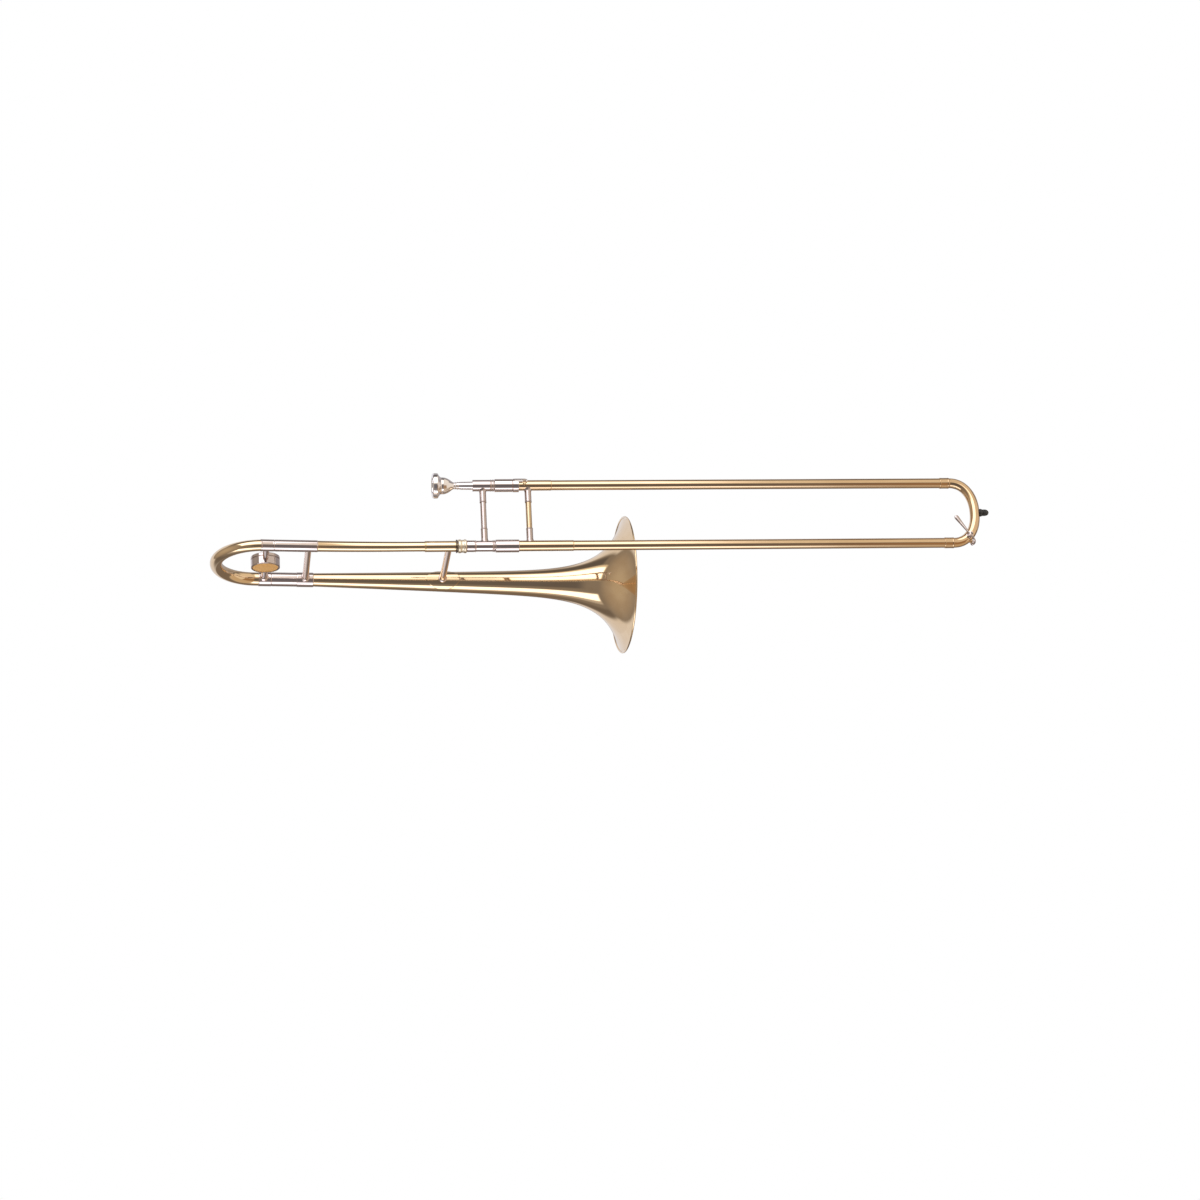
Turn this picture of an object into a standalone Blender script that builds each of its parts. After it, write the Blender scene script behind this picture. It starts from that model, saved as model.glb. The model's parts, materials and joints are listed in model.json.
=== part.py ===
"""Straight tenor trombone with its slide closed.

The slide lies along X with the two tubes in the XZ plane: the mouthpiece tube is
the upper one. The bell section leaves the lower tube towards +Y. The origin is
the middle of the inner slide brace, where the left hand holds the instrument.
Sizes are in millimetres and are turned into metres as they are used.
"""

import math

import bmesh
import bpy
from mathutils import Vector

MM = 0.001

# Slide
slide_spacing = 92.8
upper_z = slide_spacing / 2
lower_z = -slide_spacing / 2
inner_tube_radius = 6.55
inner_tube_bore = 6.3
stocking_radius = 6.85
outer_tube_radius = 7.2
outer_tube_bore = 7.0
fit_gap = 0.1
saddle_gap = 0.15
inner_tube_end = 664.0
stocking_start = 560.0
outer_tube_end = 676.0
upper_sleeve_radius = 7.55
lower_sleeve_radius = 7.7
inner_brace_x = 0.0
outer_brace_x = 65.2
lock_stud_x = 60.2

# Slide bow
bow_start = 683.1
bow_depth = 35.0
bow_fullness = 2.19
bow_bore = 6.7

# Bell section
bell_angle = math.radians(4.0)
bell_offset = 152.65
leg_spacing = 140.0
bell_tail = -259.7
rim_station = 220.0
rim_radius = 100.1
wire_radius = 1.4
bell_wall = 0.6
rear_brace_x = -251.4
front_brace_x = -51.0
brace_radius = 4.65

# Tuning slide
crook_start = -325.5
crook_depth = 61.5
crook_upper_radius = 8.0
crook_lower_radius = 9.7
crook_wall = 0.6

# Counterweight
weight_x = -311.0
weight_y = 60.6
weight_radius = 20.8
weight_height = 17.0

# Water key
key_station = 21.0
key_pivot_height = 10.6
key_pivot_out = 0.5

SIDES = 16

for leftover in list(bpy.data.objects):
    bpy.data.objects.remove(leftover)

parts = bpy.data.collections.new("trombone")
helpers = bpy.data.collections.new("cutters")
bpy.context.scene.collection.children.link(parts)
bpy.context.scene.collection.children.link(helpers)


def finish(name, colour, roughness, metallic):
    material = bpy.data.materials.new(name)
    material.use_nodes = True
    shader = material.node_tree.nodes["Principled BSDF"]
    shader.inputs["Base Color"].default_value = (*colour, 1.0)
    shader.inputs["Roughness"].default_value = roughness
    shader.inputs["Metallic"].default_value = metallic
    return material


lacquer = finish("lacquered_brass", (0.80, 0.56, 0.22), 0.2, 1.0)
nickel = finish("nickel_plate", (0.72, 0.68, 0.66), 0.2, 1.0)
chrome = finish("chrome_plate", (0.66, 0.67, 0.69), 0.12, 1.0)
plain_brass = finish("plain_brass", (0.84, 0.66, 0.34), 0.4, 1.0)
steel = finish("spring_steel", (0.5, 0.5, 0.52), 0.35, 1.0)
rubber = finish("black_rubber", (0.02, 0.018, 0.018), 0.7, 0.0)
cork = finish("cork", (0.55, 0.38, 0.22), 0.85, 0.0)
felt = finish("felt", (0.16, 0.10, 0.09), 0.95, 0.0)
amber = finish("amber_enamel", (0.75, 0.42, 0.12), 0.35, 0.0)


def frame(name, location, turn=(0.0, 0.0, 0.0)):
    empty = bpy.data.objects.new(name, None)
    empty.location = Vector(location) * MM
    empty.rotation_euler = turn
    parts.objects.link(empty)
    return empty


upper_axis = frame("upper_slide_axis", (0, 0, upper_z))
lower_axis = frame("lower_slide_axis", (0, 0, lower_z))
bell_axis = frame("bell_axis", (0, bell_offset, lower_z), (0, 0, bell_angle))

ALONG = {
    "X": (0.0, math.pi / 2, 0.0),
    "Y": (-math.pi / 2, 0.0, 0.0),
    "Z": (0.0, 0.0, 0.0),
}


def place(obj, material, parent, location, direction):
    obj.parent = parent
    obj.location = Vector(location) * MM
    obj.rotation_euler = ALONG[direction]
    if material:
        obj.data.materials.append(material)
        parts.objects.link(obj)
    else:
        helpers.objects.link(obj)
        obj.hide_render = True
        obj.display_type = "WIRE"
    return obj


def turned(name, outer, inner, material, parent=None, location=(0, 0, 0), direction="X", sides=SIDES):
    """A piece turned round its axis. outer and inner are (along, radius) pairs in order of along."""
    outline = [(radius, along) for along, radius in reversed(outer)]
    if inner:
        outline += [(radius, along) for along, radius in inner]
    else:
        outline = [(0.0, outer[-1][0])] + outline + [(0.0, outer[0][0])]
    mesh = bpy.data.meshes.new(name)
    points = [(radius * MM, 0.0, along * MM) for radius, along in outline]
    edges = [(i, i + 1) for i in range(len(points) - 1)]
    if inner:
        edges.append((len(points) - 1, 0))
    mesh.from_pydata(points, edges, [])
    obj = bpy.data.objects.new(name, mesh)
    spin = obj.modifiers.new("turn", "SCREW")
    spin.steps = sides
    spin.render_steps = sides
    spin.use_merge_vertices = True
    spin.merge_threshold = 0.00001
    return place(obj, material, parent, location, direction)


def tube(name, start, end, radius, bore, material, parent=None, location=(0, 0, 0), direction="X", sides=SIDES):
    outer = [(start, radius), (end, radius)]
    inner = [(start, bore), (end, bore)]
    return turned(name, outer, inner, material, parent, location, direction, sides)


def rod(name, start, end, radius, material, parent=None, location=(0, 0, 0), direction="X", sides=SIDES):
    return turned(name, [(start, radius), (end, radius)], None, material, parent, location, direction, sides)


def swept(name, path, radii, material, parent=None, resolution=6):
    """A round bar along a path, thicker or thinner as radii says."""
    curve = bpy.data.curves.new(name + "_path", "CURVE")
    curve.dimensions = "3D"
    curve.bevel_depth = MM
    curve.bevel_resolution = resolution
    curve.use_fill_caps = True
    line = curve.splines.new("POLY")
    line.points.add(len(path) - 1)
    for point, where, radius in zip(line.points, path, radii):
        point.co = (*(Vector(where) * MM), 1.0)
        point.radius = radius
    guide = bpy.data.objects.new(name + "_path", curve)
    helpers.objects.link(guide)
    bpy.context.view_layer.update()
    graph = bpy.context.evaluated_depsgraph_get()
    mesh = bpy.data.meshes.new_from_object(guide.evaluated_get(graph))
    mesh.name = name
    bpy.data.objects.remove(guide)
    shape = bmesh.new()
    shape.from_mesh(mesh)
    bmesh.ops.remove_doubles(shape, verts=shape.verts, dist=0.00001)
    bmesh.ops.recalc_face_normals(shape, faces=shape.faces)
    shape.to_mesh(mesh)
    shape.free()
    return place(bpy.data.objects.new(name, mesh), material, parent, (0, 0, 0), "Z")


def combine(obj, other, operation):
    step = obj.modifiers.new(operation.lower(), "BOOLEAN")
    step.operation = operation
    step.solver = "EXACT"
    step.object = other


def cut(obj, other):
    combine(obj, other, "DIFFERENCE")


def hollow_sweep(name, path, radii, wall, material, parent=None):
    """A tube along a path, open at both ends."""
    obj = swept(name, path, radii, material, parent)
    first = Vector(path[0])
    last = Vector(path[-1])
    before = first + (first - Vector(path[1])).normalized() * 2.0
    after = last + (last - Vector(path[-2])).normalized() * 2.0
    bore_path = [before, *path, after]
    bore_radii = [radii[0] - wall, *[radius - wall for radius in radii], radii[-1] - wall]
    cut(obj, swept(name + "_bore", bore_path, bore_radii, None, parent))
    return obj


def bend(depth, half_width, fullness, steps):
    """(out, across) along a half-round bend, from one leg over the top to the other."""
    stations = []
    for i in range(steps + 1):
        angle = math.pi * i / steps
        out = depth * abs(math.sin(angle)) ** (2 / fullness)
        across = half_width * abs(math.cos(angle)) ** (2 / fullness)
        stations.append((out, math.copysign(across, math.cos(angle))))
    return stations


# ---------------------------------------------------------------- inner slide

rim_shape = [(-72.6, 14.5), (-72.6, 16.3), (-71.7, 17.6), (-70.2, 18.15), (-64.6, 18.15), (-60.4, 12.4)]
bowl_shape = [(-58.5, 12.2), (-54.5, 11.8), (-50.5, 10.3), (-46.5, 7.9), (-42.9, 5.3)]
neck_shape = [(-41.0, 4.7), (-39.6, 5.4), (-38.2, 4.8), (-36.4, 5.5), (-34.6, 5.1), (-31.0, 5.55)]
shank_shape = [(-14.8, 5.85), (8.4, 5.55)]
cup_shape = [(-72.6, 13.6), (-71.4, 12.8), (-66.0, 12.0), (-60.0, 10.2), (-55.0, 7.4), (-51.0, 4.6)]
backbore_shape = [(-48.0, 3.3), (-40.0, 3.3), (8.4, 4.9)]
turned(
    "mouthpiece",
    rim_shape + bowl_shape + neck_shape + shank_shape,
    cup_shape + backbore_shape,
    nickel,
    upper_axis,
)

turned(
    "mouthpiece_receiver",
    [(-14.5, 8.25), (10.8, 8.25), (11.3, 8.7), (12.9, 8.7), (13.3, 8.3), (14.1, 8.3), (14.5, 8.7), (16.4, 8.7)],
    [(-14.5, 6.2), (9.3, 5.85), (9.4, inner_tube_radius + fit_gap), (16.4, inner_tube_radius + fit_gap)],
    nickel,
    upper_axis,
)
tube("leadpipe", 10.0, 215.0, inner_tube_bore - fit_gap, 5.8, plain_brass, upper_axis)

tube("upper_inner_tube", 9.8, inner_tube_end, inner_tube_radius, inner_tube_bore, chrome, upper_axis)
tube("lower_inner_tube", -15.0, inner_tube_end, inner_tube_radius, inner_tube_bore, chrome, lower_axis)
for level, axis in (("upper", upper_axis), ("lower", lower_axis)):
    turned(
        level + "_stocking",
        [(stocking_start, 6.7), (stocking_start + 1.0, stocking_radius), (inner_tube_end, stocking_radius)],
        [(stocking_start, inner_tube_radius + 0.07), (inner_tube_end, inner_tube_radius + 0.07)],
        chrome,
        axis,
    )

barrel_bore = inner_tube_radius + fit_gap
turned(
    "upper_cork_barrel",
    [(16.8, 8.6), (17.5, 9.25), (43.2, 9.25), (43.3, 8.5), (51.6, 8.5)],
    [(16.8, barrel_bore), (29.6, barrel_bore), (29.7, 8.0), (51.6, 8.0)],
    nickel,
    upper_axis,
)
turned(
    "lower_cork_barrel",
    [(15.0, 8.6), (15.6, 9.2), (48.7, 9.2), (49.1, 8.9)],
    [(15.0, barrel_bore), (28.0, barrel_bore), (28.1, 8.1), (49.1, 8.1)],
    nickel,
    lower_axis,
)
tube("upper_bumper_felt", 29.9, 36.4, 7.8, barrel_bore, felt, upper_axis)
tube("lower_bumper_felt", 28.4, 34.8, 7.9, barrel_bore, felt, lower_axis)

turned(
    "bell_receiver",
    [(-38.0, 7.9), (-26.0, 7.9), (-25.9, 8.3), (-14.5, 8.3), (-14.2, 8.7), (-13.1, 8.7), (-12.8, 7.8), (10.6, 7.8)]
    + [(11.0, 8.6), (12.3, 8.6), (12.6, 8.1), (13.2, 8.1), (13.5, 8.6), (14.7, 8.6)],
    [(-38.0, 7.3), (-15.6, 6.95), (-15.5, barrel_bore), (14.7, barrel_bore)],
    nickel,
    lower_axis,
)

# The brace tube stands in two collars, each with a flared foot cut to the tube it is soldered to.
brace_end = upper_z - 9.3
brace_location = (inner_brace_x, 0, 0)
tube("inner_brace_tube", -brace_end, brace_end, 4.25, 3.6, nickel, None, brace_location, "Z")
collar = [(19.7, 4.8), (35.6, 4.8), (37.6, 5.4), (41.0, 6.0)]
collar_bore = [(19.7, 4.35), (41.0, 4.35)]
for level, axis, way, hull_radius in (("upper", upper_axis, 1, 8.25), ("lower", lower_axis, -1, 7.8)):
    outer = [(way * along, radius) for along, radius in collar]
    inner = [(way * along, radius) for along, radius in collar_bore]
    if way < 0:
        outer.reverse()
        inner.reverse()
    piece = turned("inner_brace_" + level + "_collar", outer, inner, nickel, None, brace_location, "Z")
    seat = rod("inner_" + level + "_seat", -12.0, 12.0, hull_radius + saddle_gap, None, axis)
    cut(piece, seat)


# -------------------------------------------------------------- slide lock


def arc_plate(name, low_radius, high_radius, start, end, low_angle, high_angle, material, parent, steps=10):
    """Part of a tube wall, between two angles above the side away from the bell."""
    shape = bmesh.new()
    rows = []
    for i in range(steps + 1):
        angle = math.radians(low_angle + (high_angle - low_angle) * i / steps)
        side, rise = -math.cos(angle), math.sin(angle)
        corners = ((start, low_radius), (end, low_radius), (end, high_radius), (start, high_radius))
        rows.append([shape.verts.new((x * MM, side * r * MM, rise * r * MM)) for x, r in corners])
    for row, after in zip(rows, rows[1:]):
        for i in range(4):
            j = (i + 1) % 4
            shape.faces.new((row[i], row[j], after[j], after[i]))
    shape.faces.new(rows[0])
    shape.faces.new(rows[-1])
    bmesh.ops.recalc_face_normals(shape, faces=shape.faces)
    mesh = bpy.data.meshes.new(name)
    shape.to_mesh(mesh)
    shape.free()
    return place(bpy.data.objects.new(name, mesh), material, parent, (0, 0, 0), "Z")


lock_ring = tube("slide_lock_ring", 43.7, 52.3, 9.7, 8.8, nickel, upper_axis)
combine(lock_ring, arc_plate("lock_tab", 8.95, 10.1, 46.0, 64.4, 15.0, 62.0, None, upper_axis), "UNION")
cut(lock_ring, arc_plate("lock_slot", 7.0, 12.0, 58.0, 62.4, 5.0, 37.0, None, upper_axis))

turned(
    "bell_lock_nut",
    [(-38.6, 8.7), (-37.6, 9.6), (-36.2, 9.85), (-34.0, 9.75), (-32.4, 9.45), (-30.8, 9.75)]
    + [(-28.6, 9.85), (-27.2, 9.6), (-26.2, 8.7)],
    [(-38.6, 8.2), (-26.2, 8.2)],
    plain_brass,
    lower_axis,
)

# ---------------------------------------------------------------- outer slide

for level, axis, near_end in (("upper", upper_axis, 36.8), ("lower", lower_axis, 35.2)):
    name = level + "_outer_tube"
    tube(name, near_end, outer_tube_end, outer_tube_radius, outer_tube_bore, lacquer, axis)

sleeve_bore = outer_tube_radius + fit_gap
upper_sleeve = turned(
    "upper_oversleeve",
    [(37.2, upper_sleeve_radius), (98.9, upper_sleeve_radius), (99.3, 7.4)],
    [(37.2, sleeve_bore), (99.3, sleeve_bore)],
    lacquer,
    upper_axis,
)
turned(
    "lower_oversleeve",
    [(35.6, lower_sleeve_radius), (127.3, lower_sleeve_radius), (127.8, 7.4)],
    [(35.6, sleeve_bore), (127.8, sleeve_bore)],
    lacquer,
    lower_axis,
)

stud = turned(
    "slide_lock_stud",
    [(-10.2, 1.4), (-9.8, 1.8), (-8.2, 1.8), (-7.9, 2.4), (-6.5, 2.4)],
    None,
    plain_brass,
    upper_axis,
    (lock_stud_x, 0, 0),
    "Y",
    16,
)
cut(stud, rod("stud_seat", 50.0, 72.0, upper_sleeve_radius + saddle_gap, None, upper_axis))

brace_location = (outer_brace_x, 0, 0)
tube("outer_brace_tube", -brace_end, brace_end, 4.2, 3.6, lacquer, None, brace_location, "Z")
for level, axis, way, hull_radius in (
    ("upper", upper_axis, 1, upper_sleeve_radius),
    ("lower", lower_axis, -1, lower_sleeve_radius),
):
    outer = [(way * along, radius) for along, radius in collar]
    inner = [(way * along, radius) for along, radius in collar_bore]
    if way < 0:
        outer.reverse()
        inner.reverse()
    piece = turned("outer_brace_" + level + "_collar", outer, inner, nickel, None, brace_location, "Z")
    seat = rod("outer_" + level + "_seat", 53.0, 77.0, hull_radius + saddle_gap, None, axis)
    cut(piece, seat)

bow_bend = bend(bow_depth, slide_spacing / 2, bow_fullness, 18)
bow_path = [(outer_tube_end + 0.4, 0, upper_z)]
bow_path += [(bow_start + out, 0, across) for out, across in bow_bend]
bow_path += [(outer_tube_end + 0.4, 0, lower_z)]
hollow_sweep("slide_bow", bow_path, [outer_tube_radius] * len(bow_path), outer_tube_radius - bow_bore, lacquer)
for level, axis in (("upper", upper_axis), ("lower", lower_axis)):
    turned(
        level + "_bow_ferrule",
        [(669.3, 7.6), (669.9, 7.95), (682.6, 7.95), (683.2, 7.6)],
        [(669.3, sleeve_bore), (683.2, sleeve_bore)],
        lacquer,
        axis,
    )

bow_shell = swept("bow_seat", bow_path, [outer_tube_radius + saddle_gap] * len(bow_path), None)
bumper = turned(
    "slide_bumper",
    [(722.0, 5.6), (728.6, 5.6), (729.6, 4.8), (734.8, 4.6), (737.4, 3.6), (738.8, 1.9)],
    None,
    rubber,
    None,
    (0, 0, 0),
    "X",
)
cut(bumper, bow_shell)

# ------------------------------------------------------------------ water key

# The key works at one station of the bow: X points out of the bend, Y runs along it and
# Z points away from the bell.
key_across = slide_spacing / 2 * (1 - (key_station / bow_depth) ** bow_fullness) ** (1 / bow_fullness)
slope_out = (key_station / bow_depth) ** (bow_fullness - 1) / bow_depth
slope_down = (key_across / (slide_spacing / 2)) ** (bow_fullness - 1) / (slide_spacing / 2)
key_turn = math.atan2(slope_down, slope_out)
key_frame = frame("water_key_frame", (bow_start + key_station, 0, -key_across))
key_frame.rotation_euler = (math.pi / 2, key_turn, 0)
pivot = (key_pivot_out, 0, key_pivot_height)

nipple = tube("water_key_nipple", 5.6, 8.7, 3.1, 1.6, lacquer, key_frame, (0, 0, 0), "X", 16)
cut(nipple, bow_shell)
rod("water_key_cork", 8.9, 11.0, 3.0, cork, key_frame, (0, 0, 0), "X", 16)

lever_path = [(12.9, 0.4, 0), (12.6, 1.0, 5.0), (10.0, 1.8, 9.0), (5.5, 2.2, 10.5), (0.5, 2.4, 10.8)]
lever_path += [(-6.0, 3.4, 10.7), (-18.0, 5.1, 10.4), (-30.0, 6.8, 10.0), (-31.4, 7.0, 10.0)]
lever_radii = [1.3, 1.5, 1.6, 1.6, 1.5, 1.6, 1.9, 2.3, 1.9]
lever = swept("water_key_lever", lever_path, lever_radii, steel, key_frame, 4)
lever.data.materials[0] = nickel
hub = rod("key_hub", 0.4, 4.0, 2.1, None, key_frame, pivot, "Y", 16)
hub_bore = rod("key_hub_bore", -1.0, 6.0, 0.95, None, key_frame, pivot, "Y", 12)
cup = turned(
    "key_cup",
    [(9.8, 3.9), (12.6, 3.9), (13.6, 2.4)],
    [(9.8, 3.3), (11.3, 3.3), (11.31, 0.0), (13.6, 0.0)],
    None,
    key_frame,
    (0, 0, 0),
    "X",
    16,
)
combine(lever, cup, "UNION")
combine(lever, hub, "UNION")
cut(lever, hub_bore)


def block(name, low, high, parent):
    shape = bmesh.new()
    bmesh.ops.create_cube(shape, size=1.0)
    for vert in shape.verts:
        vert.co = [(a if c < 0 else b) * MM for a, b, c in zip(low, high, vert.co)]
    mesh = bpy.data.meshes.new(name)
    shape.to_mesh(mesh)
    shape.free()
    return place(bpy.data.objects.new(name, mesh), None, parent, (0, 0, 0), "Z")


saddle = rod("water_key_saddle", -1.0, 0.1, 2.0, nickel, key_frame, pivot, "Y", 16)
ear = rod("key_far_ear", 6.2, 7.2, 2.0, None, key_frame, pivot, "Y", 16)
web = block("key_near_web", (-1.5, -1.0, 7.6), (2.5, 0.1, 10.6), key_frame)
far_web = block("key_far_web", (-1.5, 6.2, 7.6), (2.5, 7.2, 10.6), key_frame)
base = block("key_base", (-2.6, -1.4, 5.0), (3.6, 7.6, 8.3), key_frame)
for piece in (web, base, far_web, ear):
    combine(saddle, piece, "UNION")
cut(saddle, bow_shell)
cut(saddle, rod("saddle_bore", -3.0, 9.0, 0.85, None, key_frame, pivot, "Y", 12))

turned(
    "water_key_screw",
    [(-2.2, 1.1), (-2.0, 1.5), (-1.3, 1.5), (-1.29, 0.6), (7.9, 0.6)],
    None,
    steel,
    key_frame,
    pivot,
    "Y",
    12,
)
turns = [(4.3, 1.2), (4.5, 1.6), (4.8, 1.3), (5.1, 1.6), (5.4, 1.3), (5.7, 1.6), (5.9, 1.2)]
turned("water_key_spring", turns, [(4.3, 0.95), (5.9, 0.95)], steel, key_frame, pivot, "Y", 12)

# --------------------------------------------------------------- bell section

turned(
    "bell_tenon",
    [(-60.0, 7.1), (-39.0, 7.1), (-38.2, 6.95), (-16.4, 6.6)],
    [(-60.0, 5.9), (-16.4, 5.9)],
    plain_brass,
    lower_axis,
)
tube("tenon_collar", -41.2, -39.4, 9.6, 7.4, plain_brass, lower_axis)
turned(
    "neck_sleeve",
    [(-86.2, 7.6), (-85.6, 7.95), (-41.5, 7.95)],
    [(-86.2, 7.35), (-41.5, 7.35)],
    lacquer,
    lower_axis,
)


def leg_point(station, across):
    """A point of the tuning legs' frame, which turns with the bell, in the slide's own frame."""
    x = station * math.cos(bell_angle) - across * math.sin(bell_angle)
    y = bell_offset + station * math.sin(bell_angle) + across * math.cos(bell_angle)
    return x, y, lower_z


neck_end = leg_point(-258.0, -leg_spacing)
neck_turn = leg_point(-186.3, -leg_spacing)
neck_path = [(-61.5, 0, lower_z), (-95.0, 0, lower_z)]
blend_start = Vector((-110.0, 0, lower_z))
blend_end = Vector(leg_point(-245.0, -leg_spacing))
corner = Vector(neck_turn)
for i in range(1, 10):
    t = i / 9
    neck_path.append(blend_start * (1 - t) ** 2 + corner * 2 * t * (1 - t) + blend_end * t * t)
neck_path.append(neck_end)
neck_radii = [7.05, 7.05]
neck_radii += [7.05 + 0.8 * i / 9 for i in range(1, 10)]
neck_radii.append(7.85)
hollow_sweep("gooseneck", neck_path, neck_radii, 0.5, lacquer)

upper_leg_axis = frame("upper_leg_axis", leg_point(0, -leg_spacing), (0, 0, bell_angle))
tube("upper_tuning_sleeve", -310.6, -249.0, 8.45, 8.05, nickel, upper_leg_axis)
tube("lower_tuning_sleeve", -301.6, -260.5, 10.15, 9.75, nickel, bell_axis)
turned(
    "bell_tail_ferrule",
    [(-265.0, 10.3), (-264.6, 10.6), (-241.0, 10.6), (-240.5, 10.2)],
    [(-265.0, 10.25), (-260.2, 10.25), (-260.1, 9.95), (-240.5, 9.95)],
    nickel,
    bell_axis,
)


def bell_radius(station):
    """Outer radius: a gently tapered tail that opens into the flare."""
    along = (station + 262.0) / 482.4
    flare = 34.5 / ((244.7 - station) / 26.0) ** 1.4
    return 8.62 + 11.0 * along + 44.1 * along**12.17 + flare


stations = [bell_tail + i * 57.0 for i in range(6)]
stations += [60.0, 92.0, 115.0, 134.0, 150.0, 164.0, 176.0, 187.0, 196.0, 204.0, 210.5, 215.0, 217.6, 219.45]
bell_outer = [(station, bell_radius(station)) for station in stations]
bell_inner = []
for station, radius in bell_outer:
    slope = (bell_radius(station + 0.1) - bell_radius(station - 0.1)) / 0.2
    length = math.hypot(1.0, slope)
    bell_inner.append((station + bell_wall * slope / length, radius - bell_wall / length))
turned("bell", bell_outer, bell_inner, lacquer, bell_axis, (0, 0, 0), "X", 32)

facet = math.radians(22.5)
wire_outline = [
    (rim_station + wire_radius * math.sin(facet * k), rim_radius + wire_radius * math.cos(facet * k))
    for k in (-5, -3, -1, 1, 3, 5)
]
wire_inside = [
    (rim_station - wire_radius * math.sin(facet), rim_radius - wire_radius * math.cos(facet)),
    (rim_station + wire_radius * math.sin(facet), rim_radius - wire_radius * math.cos(facet)),
]
turned("bell_rim_wire", wire_outline, wire_inside, lacquer, bell_axis, (0, 0, 0), "X", 32)

# Each bell brace is a plain tube soldered to the neck, with a round foot on the bell side.
neck_seat = rod("neck_seat", -86.0, -42.0, 7.95 + saddle_gap, None, lower_axis)
sleeve_seat = rod("sleeve_seat", -300.0, -230.0, 8.45 + saddle_gap, None, upper_leg_axis)
ferrule_seat = rod("ferrule_seat", -280.0, -225.0, 10.6 + saddle_gap, None, bell_axis)
patch_stations = [-110.0 + 12.0 * i for i in range(10)]
patch_seat = turned(
    "patch_seat",
    [(station, bell_radius(station) + 1.15 + saddle_gap) for station in patch_stations],
    None,
    None,
    bell_axis,
    (0, 0, 0),
    "X",
    32,
)
for name, x, near, foot_start, far, near_seat, far_seat in (
    ("rear_bell_brace", rear_brace_x, -2.0, 121.2, 128.0, sleeve_seat, ferrule_seat),
    ("front_bell_brace", front_brace_x, 4.0, 130.4, 138.0, neck_seat, patch_seat),
):
    piece = tube(name, near, far, brace_radius, 4.0, nickel, None, (x, 0, lower_z), "Y")
    cut(piece, near_seat)
    cut(piece, far_seat)
    foot = turned(
        name + "_foot",
        [(foot_start, 5.0), (foot_start + 0.6, 5.8), (foot_start + 1.8, 6.4), (far, 6.4)],
        [(foot_start, brace_radius + fit_gap), (far, brace_radius + fit_gap)],
        nickel,
        None,
        (x, 0, lower_z),
        "Y",
    )
    cut(foot, far_seat)


def patch_plate():
    """A thin plate wrapped half round the bell, widest along the brace and pointed above and below."""
    shape = bmesh.new()
    half_length = 26.0
    rows = []
    shares = [-1.0, -0.93, -0.8, -0.6, -0.4, -0.22, 0.0, 0.22, 0.4, 0.6, 0.8, 0.93, 1.0]
    for share in shares:
        far = abs(share)
        reach = 68.0 if far <= 0.22 else 68.0 - 50.0 * (far - 0.22) / 0.71
        if far > 0.93:
            reach = 10.0
        station = front_brace_x - 0.4 + share * half_length
        for lift in (1.15, 0.55):
            radius = bell_radius(station) + lift
            row = []
            for k in range(9):
                angle = math.radians(reach * (k - 4) / 4)
                row.append((station, -radius * math.cos(angle), radius * math.sin(angle)))
            rows.append([shape.verts.new(Vector(co) * MM) for co in row])
    tops = rows[0::2]
    bottoms = rows[1::2]
    for layer in (tops, bottoms):
        for row, after in zip(layer, layer[1:]):
            for k in range(8):
                shape.faces.new((row[k], row[k + 1], after[k + 1], after[k]))
    for k in (0, 8):
        for i in range(len(tops) - 1):
            shape.faces.new((tops[i][k], tops[i + 1][k], bottoms[i + 1][k], bottoms[i][k]))
    for i in (0, -1):
        for k in range(8):
            shape.faces.new((tops[i][k], tops[i][k + 1], bottoms[i][k + 1], bottoms[i][k]))
    bmesh.ops.recalc_face_normals(shape, faces=shape.faces)
    mesh = bpy.data.meshes.new("bell_patch_plate")
    shape.to_mesh(mesh)
    shape.free()
    return place(bpy.data.objects.new("bell_patch_plate", mesh), lacquer, bell_axis, (0, 0, 0), "Z")


patch_plate()

# --------------------------------------------------------------- tuning slide

crook_bend = bend(crook_depth, leg_spacing / 2, 2.0, 20)
crook_path = [(-319.5, -leg_spacing, 0)]
crook_path += [(crook_start - out, -leg_spacing / 2 - across, 0) for out, across in crook_bend]
crook_path += [(-313.0, 0, 0)]
last = len(crook_path) - 1
crook_growth = crook_lower_radius - crook_upper_radius
crook_radii = [crook_upper_radius + crook_growth * i / last for i in range(last + 1)]
crook = hollow_sweep("tuning_crook", crook_path, crook_radii, crook_wall, lacquer, bell_axis)

turned(
    "upper_crook_ferrule",
    [(-330.0, 8.85), (-327.0, 8.65), (-311.0, 8.55)],
    [(-330.0, 8.66), (-327.0, 8.46), (-319.2, 8.35), (-319.1, 8.05), (-311.0, 8.05)],
    nickel,
    upper_leg_axis,
)
turned(
    "lower_crook_ferrule",
    [(-320.5, 10.2), (-320.1, 10.45), (-302.3, 10.45), (-301.9, 10.2)],
    [(-320.5, 9.92), (-312.6, 9.92), (-312.5, 9.72), (-301.9, 9.72)],
    nickel,
    bell_axis,
)
tube("upper_tuning_leg", -318.6, -262.0, 7.9, 7.4, nickel, upper_leg_axis)
tube("lower_tuning_leg", -312.0, -261.5, 9.6, 9.0, nickel, bell_axis)

half = weight_height / 2
groove = half - 0.3 * weight_height
weight = turned(
    "counterweight",
    [(-half, 20.2), (-half + 0.5, weight_radius), (groove - 0.4, weight_radius), (groove, 20.3)]
    + [(groove + 0.4, weight_radius), (half - 0.6, weight_radius), (half, 20.1)],
    [(-half, 18.9), (-half + 1.7, 18.8), (-half + 1.71, 0.0), (half, 0.0)],
    nickel,
    None,
    (weight_x, weight_y, lower_z),
    "Z",
    36,
)
rod("counterweight_inset", -half + 0.4, -half + 1.4, 18.5, amber, None, (weight_x, weight_y, lower_z), "Z", 36)

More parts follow.
